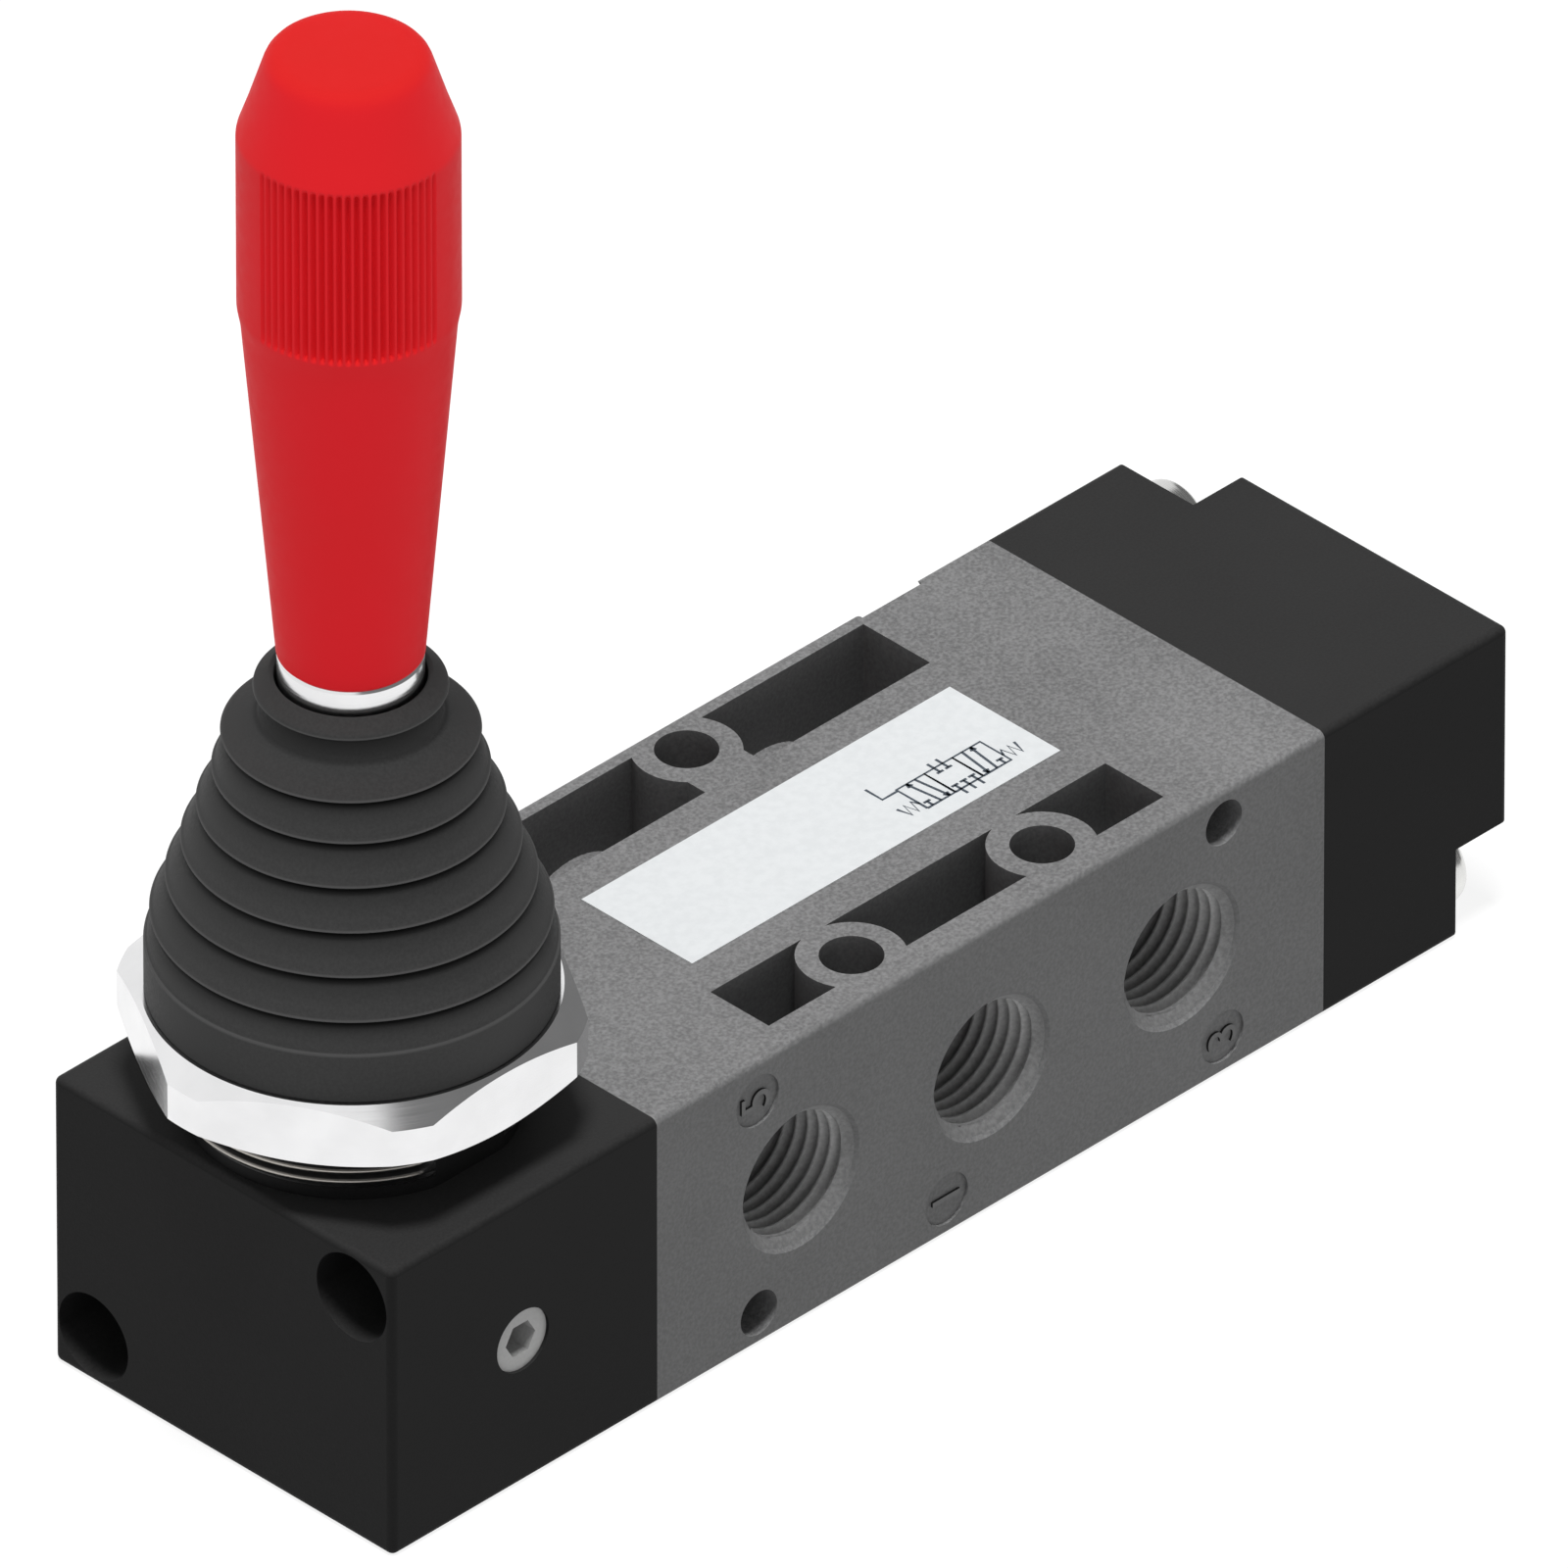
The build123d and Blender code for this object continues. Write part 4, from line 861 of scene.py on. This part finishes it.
def knob_outline(sizes):
    """Outline of the knob's section from the bore's middle round the outside and back to it."""
    top = sizes.bottom + sizes.bore_depth
    dense = rounded([(0.0, top), (sizes.bore, top, 0.1 * MM), (sizes.bore, sizes.bottom, 0.1 * MM),
                     *shifted(KNOB_SIDE, 0.0, sizes.bottom), (0.0, sizes.bottom + KNOB_TOP * MM)], 5)
    result = [dense[0]]
    for before, after in zip(dense, dense[1:]):
        steps = max(1, int(abs(after[1] - before[1]) / MM))
        for step in range(1, steps + 1):
            t = step / steps
            result.append((before[0] * (1 - t) + after[0] * t, before[1] * (1 - t) + after[1] * t))
    return result


# Boxes of the label's symbol: arrows from port to port, and blocked ports, as shares along and up a box
SYMBOL_BOXES = (
    ((((0.5, 0), (0.35, 1)), ((0.65, 1), (0.8, 0))), ((0.2, 0),)),
    ((), ((0.2, 0), (0.5, 0), (0.8, 0), (0.35, 1), (0.65, 1))),
    ((((0.5, 0), (0.65, 1)), ((0.35, 1), (0.2, 0))), ((0.8, 0),)))


def symbol_lines(width, height):
    """Line work of a five port, three position valve symbol with springs and a lever, as 2-D strokes."""
    tee = height * 0.2
    half = height * 0.1
    left = -len(SYMBOL_BOXES) * width / 2
    sides = [left + index * width for index in range(len(SYMBOL_BOXES))]
    strokes = [[(x, 0), (x + width, 0), (x + width, height), (x, height), (x, 0)] for x in sides]
    for side, (arrows, blocked) in zip(sides, SYMBOL_BOXES):
        for share, level in blocked:
            x = side + width * share
            end = height - tee if level else tee
            strokes += [[(x, height * level), (x, end)], [(x - half, end), (x + half, end)]]
        for ends in arrows:
            tail, tip = ((side + width * share, height * level) for share, level in ends)
            strokes += [[tail, tip], *arrow_head(tail, tip, height * 0.16)]
    for share, level in SYMBOL_BOXES[1][1]:
        x = width * (share - 0.5)
        strokes.append([(x, height * level), (x, height * (1.22 if level else -0.22))])
    for side in (-1, 1):
        foot = side * len(SYMBOL_BOXES) * width / 2
        strokes.append([(foot + side * width * 0.12 * index, height * level)
                        for index, level in enumerate((0.25, 0.45, 0.05, 0.45, 0.05, 0.45))])
    lever = left - width * 0.55
    strokes.append([(left - width * 0.02, height * 0.95), (lever, height * 0.95), (lever, height * 1.5)])
    return strokes


def arrow_head(tail, tip, size):
    """Two short strokes back from an arrow's tip."""
    way = (Vector(tail) - Vector(tip)).normalized() * size
    strokes = []
    for turn in (0.4, -0.4):
        x = way.x * cos(turn) - way.y * sin(turn)
        y = way.x * sin(turn) + way.y * cos(turn)
        strokes.append([tip, (tip[0] + x, tip[1] + y)])
    return strokes


def edges_mesh(name, strokes):
    """Strokes as one mesh of edges."""
    points = []
    edges = []
    for stroke in strokes:
        edges += [(len(points) + i, len(points) + i + 1) for i in range(len(stroke) - 1)]
        points += stroke
    return polyline(name, points, edges)


# Operators


class Step:
    """What the operators share."""

    bl_options = {"REGISTER", "UNDO"}


class VALVE_OT_finishes(Step, bpy.types.Operator):
    """Make all finishes and give them to the CAD nodes"""

    bl_idname = "valve.finishes"
    bl_label = "Finishes"

    def execute(self, context):
        make_finishes()
        for part in frame["record"]["subparts"]:
            node = frame["nodes"][part["node"]]
            node.data.materials.clear()
            node.data.materials.append(finish_of(part["material_slot"]))
        frame["nodes"]["guide_screw"].data.materials[0] = finish_of("dull_zinc")
        return {"FINISHED"}


class VALVE_OT_boot(Step, bpy.types.Operator):
    """Build the rubber boot"""

    bl_idname = "valve.boot"
    bl_label = "Boot"

    def execute(self, context):
        sizes = context.scene.valve_boot
        lever_x = context.scene.valve_places.lever_x
        boot = grow("rubber_boot", section("boot_outline", boot_outline(sizes)), turned_shape(), {
            "Segments": sizes.segments, "Axis X": lever_x, "Material": finish_of("boot_rubber")})
        # Per-point attribute of the painted highlight on the rims and the painted shade in the folds
        wear = boot.data.attributes.new("wear", "FLOAT", "POINT")
        wear.data.foreach_set("value", [wear_at(vertex.co.z, sizes) for vertex in boot.data.vertices])
        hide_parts("boot")
        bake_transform(boot)
        return {"FINISHED"}


class VALVE_OT_knob(Step, bpy.types.Operator):
    """Build the red knob with its two fans of flutes"""

    bl_idname = "valve.knob"
    bl_label = "Knob"

    def execute(self, context):
        sizes = context.scene.valve_knob
        knob = grow("lever_knob", section("knob_outline", knob_outline(sizes)), turned_shape(flutes=True), {
            "Segments": sizes.segments, "Axis X": context.scene.valve_places.lever_x,
            "Material": finish_of("red_moulding"), "Flute Pitch": sizes.flute_pitch,
            "Flutes": sizes.flutes, "Flute Depth": sizes.flute_depth, "Flute Share": sizes.flute_share,
            "Facing": sizes.facing, "Low": sizes.grip_low, "High": sizes.grip_high,
            "Floor Radius": sizes.bore + sizes.bore_wall})
        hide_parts("knob")
        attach(knob, "lever")
        return {"FINISHED"}


class VALVE_OT_neck_thread(Step, bpy.types.Operator):
    """Build the worn thread on the panel neck"""

    bl_idname = "valve.neck_thread"
    bl_label = "Neck thread"

    def execute(self, context):
        sizes = context.scene.valve_threads
        lever_x = context.scene.valve_places.lever_x
        spot = spots("neck_spot", [(lever_x, 0.0, sizes.neck_low)], "way", [(0.0, 0.0, 1.0)])
        thread = grow("neck_thread", spot, thread_shape(inside=False), {
            "Segments": 128, "Root Radius": sizes.neck_root, "Crest Radius": sizes.neck_radius,
            "Back Radius": sizes.neck_root - sizes.neck_wall, "Pitch": sizes.neck_pitch,
            "Length": sizes.neck_high - sizes.neck_low, "Flat": sizes.neck_flat,
            "Material": neck_thread_finish(lever_x, sizes.neck_radius)})
        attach(thread, "housing")
        return {"FINISHED"}


class VALVE_OT_port_threads(Step, bpy.types.Operator):
    """Build the pipe threads in the five ports"""

    bl_idname = "valve.port_threads"
    bl_label = "Port threads"

    def execute(self, context):
        places = context.scene.valve_places
        sizes = context.scene.valve_threads
        mouth = places.far_y - sizes.port_start - (sizes.port_radius - sizes.port_crest)
        starts = []
        ways = []
        for step in range(-2, 3):
            side = 1 if step % 2 else -1
            face = places.far_y if side > 0 else places.near_y
            starts.append((step * places.port_spacing, face - side * sizes.port_start, places.port_z))
            ways.append((0.0, -side, 0.0))
        threads = grow("port_threads", spots("port_spots", starts, "way", ways), thread_shape(inside=True), {
            "Segments": 96, "Root Radius": sizes.port_radius, "Crest Radius": sizes.port_crest,
            "Back Radius": sizes.port_radius + sizes.port_wall, "Pitch": sizes.port_pitch,
            "Length": sizes.port_end - sizes.port_start, "Flat": 1.0, "Material": port_thread_finish(mouth)})
        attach(threads, "housing")
        return {"FINISHED"}


class VALVE_OT_port_numbers(Step, bpy.types.Operator):
    """Build the cast numbers in the round recesses beside the ports"""

    bl_idname = "valve.port_numbers"
    bl_label = "Port numbers"

    def execute(self, context):
        places = context.scene.valve_places
        sizes = context.scene.valve_marks
        high = places.port_z + sizes.digit_high
        low = places.port_z - sizes.digit_low
        shift = sizes.digit_shift
        stations = {"5": (-2 * places.port_spacing + shift, high), "1": (shift, low),
                    "3": (2 * places.port_spacing - shift, low), "4": (-places.port_spacing + shift, high),
                    "2": (places.port_spacing + shift, high)}
        shape = number_shape()
        paint = number_finish()
        sunk = 0.02 * MM  # how far a number's foot is below the recess's floor
        short = 0.01 * MM  # how much its rise is less than the recess's depth
        for name, (x, z) in stations.items():
            side = 1 if name in "42" else -1
            face = places.far_y if side > 0 else places.near_y
            turn = Matrix(((0, -1, 0), (0, 0, side), (-side, 0, 0))).to_euler()
            spot = (x, face - side * (sizes.digit_floor + sunk), z)
            digit = grow("port_number_" + name, spots("number_spot_" + name, [spot], "turn", [turn]), shape, {
                "Text": name, "Height": sizes.digit_height, "Rise": sizes.digit_floor - short,
                "Material": paint})
            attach(digit, "housing")
        return {"FINISHED"}


class VALVE_OT_label_print(Step, bpy.types.Operator):
    """Print the flow symbol on the label"""

    bl_idname = "valve.label_print"
    bl_label = "Label print"

    def execute(self, context):
        sizes = context.scene.valve_marks
        middle_x, middle_y = 12.9, -4.6  # millimetres from the label's middle to the symbol's foot
        strokes = [[(sizes.label_x + (x + middle_x) * MM, sizes.label_y + (y + middle_y) * MM,
                     sizes.label_z + sizes.ink / 2) for x, y in stroke]
                   for stroke in symbol_lines(width=3.3, height=3.7)]
        ink = even("label_ink", (0.03, 0.05, 0.07), (0.4, 0.4), 0.5, 0.0003, (0.02, 0.03, 0.05),
                   (0.06, 0.08, 0.10))
        print_piece = grow("label_print", edges_mesh("label_strokes", strokes), ink_shape(), {
            "Width": sizes.line, "Thickness": sizes.ink, "Material": ink})
        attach(print_piece, "housing")
        return {"FINISHED"}


class VALVE_OT_springs(Step, bpy.types.Operator):
    """Build the centring springs"""

    bl_idname = "valve.springs"
    bl_label = "Centring springs"

    def execute(self, context):
        sizes = context.scene.valve_springs
        shape = spring_shape()
        plate_low, plate_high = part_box("spring_plate")
        axis_y, axis_z = ((plate_low[i] + plate_high[i]) / 2 for i in (1, 2))
        for node in ("front_centring_spring", "rear_centring_spring"):
            low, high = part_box(node)
            start = (low[0] + sizes.wire / 2 + sizes.end_gap, axis_y, axis_z)
            spring = grow(node.replace("centring", "wound"), polyline(node + "_start", [start]), shape, {
                "Turns": sizes.turns, "Mean Radius": sizes.mean_radius, "Wire": sizes.wire,
                "Length": high[0] - low[0] - sizes.wire - 2 * sizes.end_gap,
                "Material": finish_of("spring_steel")})
            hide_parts(node)
            near, far = Vector((low[0], axis_y, axis_z)), Vector((high[0], axis_y, axis_z))
            if node.startswith("rear"):
                near, far = far, near
            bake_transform(spring)
            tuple(near)
            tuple(far)
        return {"FINISHED"}


class VALVE_OT_stage(Step, bpy.types.Operator):
    """Set up the floor, light and camera"""

    bl_idname = "valve.stage"
    bl_label = "Stage"

    def execute(self, context):
        sizes = context.scene.valve_stage
        scene = context.scene
        scene.view_settings.view_transform = "Standard"
        self.floor(sizes)
        self.world(scene, sizes)
        self.lamp(sizes)
        self.camera(scene, sizes)
        return {"FINISHED"}

    def floor(self, sizes):
        half = sizes.floor_size / 2
        mesh = bpy.data.meshes.new("floor")
        mesh.from_pydata([(-half, -half, 0), (half, -half, 0), (half, half, 0), (-half, half, 0)], [],
                         [(0, 1, 2, 3)])
        mesh.materials.append(floor_finish(sizes.floor_glow))
        floor = new_object("floor", mesh)
        floor.visible_diffuse = False

    def world(self, scene, sizes):
        """Even light, darker from above, with a bright and a dark side in what shiny metal mirrors."""
        scene.world = bpy.data.worlds.new("studio")
        scene.world.use_nodes = True
        nodes = Nodes(scene.world.node_tree)
        way = nodes.place("Generated")
        side = nodes.along(way, (0.7071, -0.7071, 0.0))
        smooth = {"interpolation_type": "SMOOTHSTEP"}
        mirrored = side.ramp(0.06, 0.22, sizes.bright_side, sizes.dark_side, **smooth)
        soft = nodes.split(way)[2].ramp(0.05, 0.45, sizes.surround, sizes.sky, **smooth)
        path = nodes.add("ShaderNodeLightPath")
        lit = path["Is Glossy Ray"].ramp(0.0, 1.0, soft, mirrored)
        back = nodes.tree.nodes["Background"].inputs
        nodes.plug(path["Is Camera Ray"].ramp(0.0, 1.0, lit, sizes.backdrop), back["Strength"])
        nodes.plug((1.0, 1.0, 1.0, 1.0), back["Color"])

    def lamp(self, sizes):
        lamp = bpy.data.lights.new("key", "SUN")
        lamp.energy = sizes.key
        lamp.angle = sizes.softness
        key = new_object("key", lamp)
        key.visible_glossy = False
        key.rotation_euler = Vector(sizes.slant).to_track_quat("Z", "Y").to_euler()

    def camera(self, scene, sizes):
        data = bpy.data.cameras.new("photo_view")
        data.sensor_width = 36.0
        data.lens = sizes.lens
        data.clip_end = 100.0
        camera = new_object("photo_view", data)
        away = Vector((-1.0, -1.0, 1.0)).normalized()
        camera.location = Vector(sizes.aim) + away * sizes.distance
        camera.rotation_euler = away.to_track_quat("Z", "Y").to_euler()
        scene.camera = camera


class VALVE_PT_panel(bpy.types.Panel):
    """Lists the steps that build the valve"""

    bl_idname = "VALVE_PT_panel"
    bl_label = "Hand lever air valve"
    bl_space_type = "VIEW_3D"
    bl_region_type = "UI"
    bl_category = "Valve"

    def draw(self, context):
        for operator in OPERATORS:
            self.layout.operator(operator.bl_idname)


GROUPS = {"valve_places": ValvePlaces, "valve_boot": ValveBoot, "valve_knob": ValveKnob,
          "valve_threads": ValveThreads, "valve_marks": ValveMarks, "valve_springs": ValveSprings,
          "valve_stage": ValveStage}
OPERATORS = (VALVE_OT_finishes, VALVE_OT_boot, VALVE_OT_knob, VALVE_OT_neck_thread, VALVE_OT_port_threads,
             VALVE_OT_port_numbers, VALVE_OT_label_print, VALVE_OT_springs, VALVE_OT_stage)
CLASSES = (*GROUPS.values(), *OPERATORS, VALVE_PT_panel)


def register():
    """Add the classes and the scene's size groups."""
    for item in CLASSES:
        bpy.utils.register_class(item)
    for name, group in GROUPS.items():
        setattr(bpy.types.Scene, name, bpy.props.PointerProperty(type=group))


def unregister():
    """Take the classes and the size groups away again."""
    for name in GROUPS:
        delattr(bpy.types.Scene, name)
    for item in reversed(CLASSES):
        bpy.utils.unregister_class(item)


def main():
    """Build everything in order."""
    register()
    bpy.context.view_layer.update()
    bpy.ops.valve.finishes()
    bpy.ops.valve.boot()
    bpy.ops.valve.knob()
    bpy.ops.valve.neck_thread()
    bpy.ops.valve.port_threads()
    bpy.ops.valve.port_numbers()
    bpy.ops.valve.label_print()
    bpy.ops.valve.springs()
    bpy.ops.valve.stage()


if __name__ == "__main__":
    main()
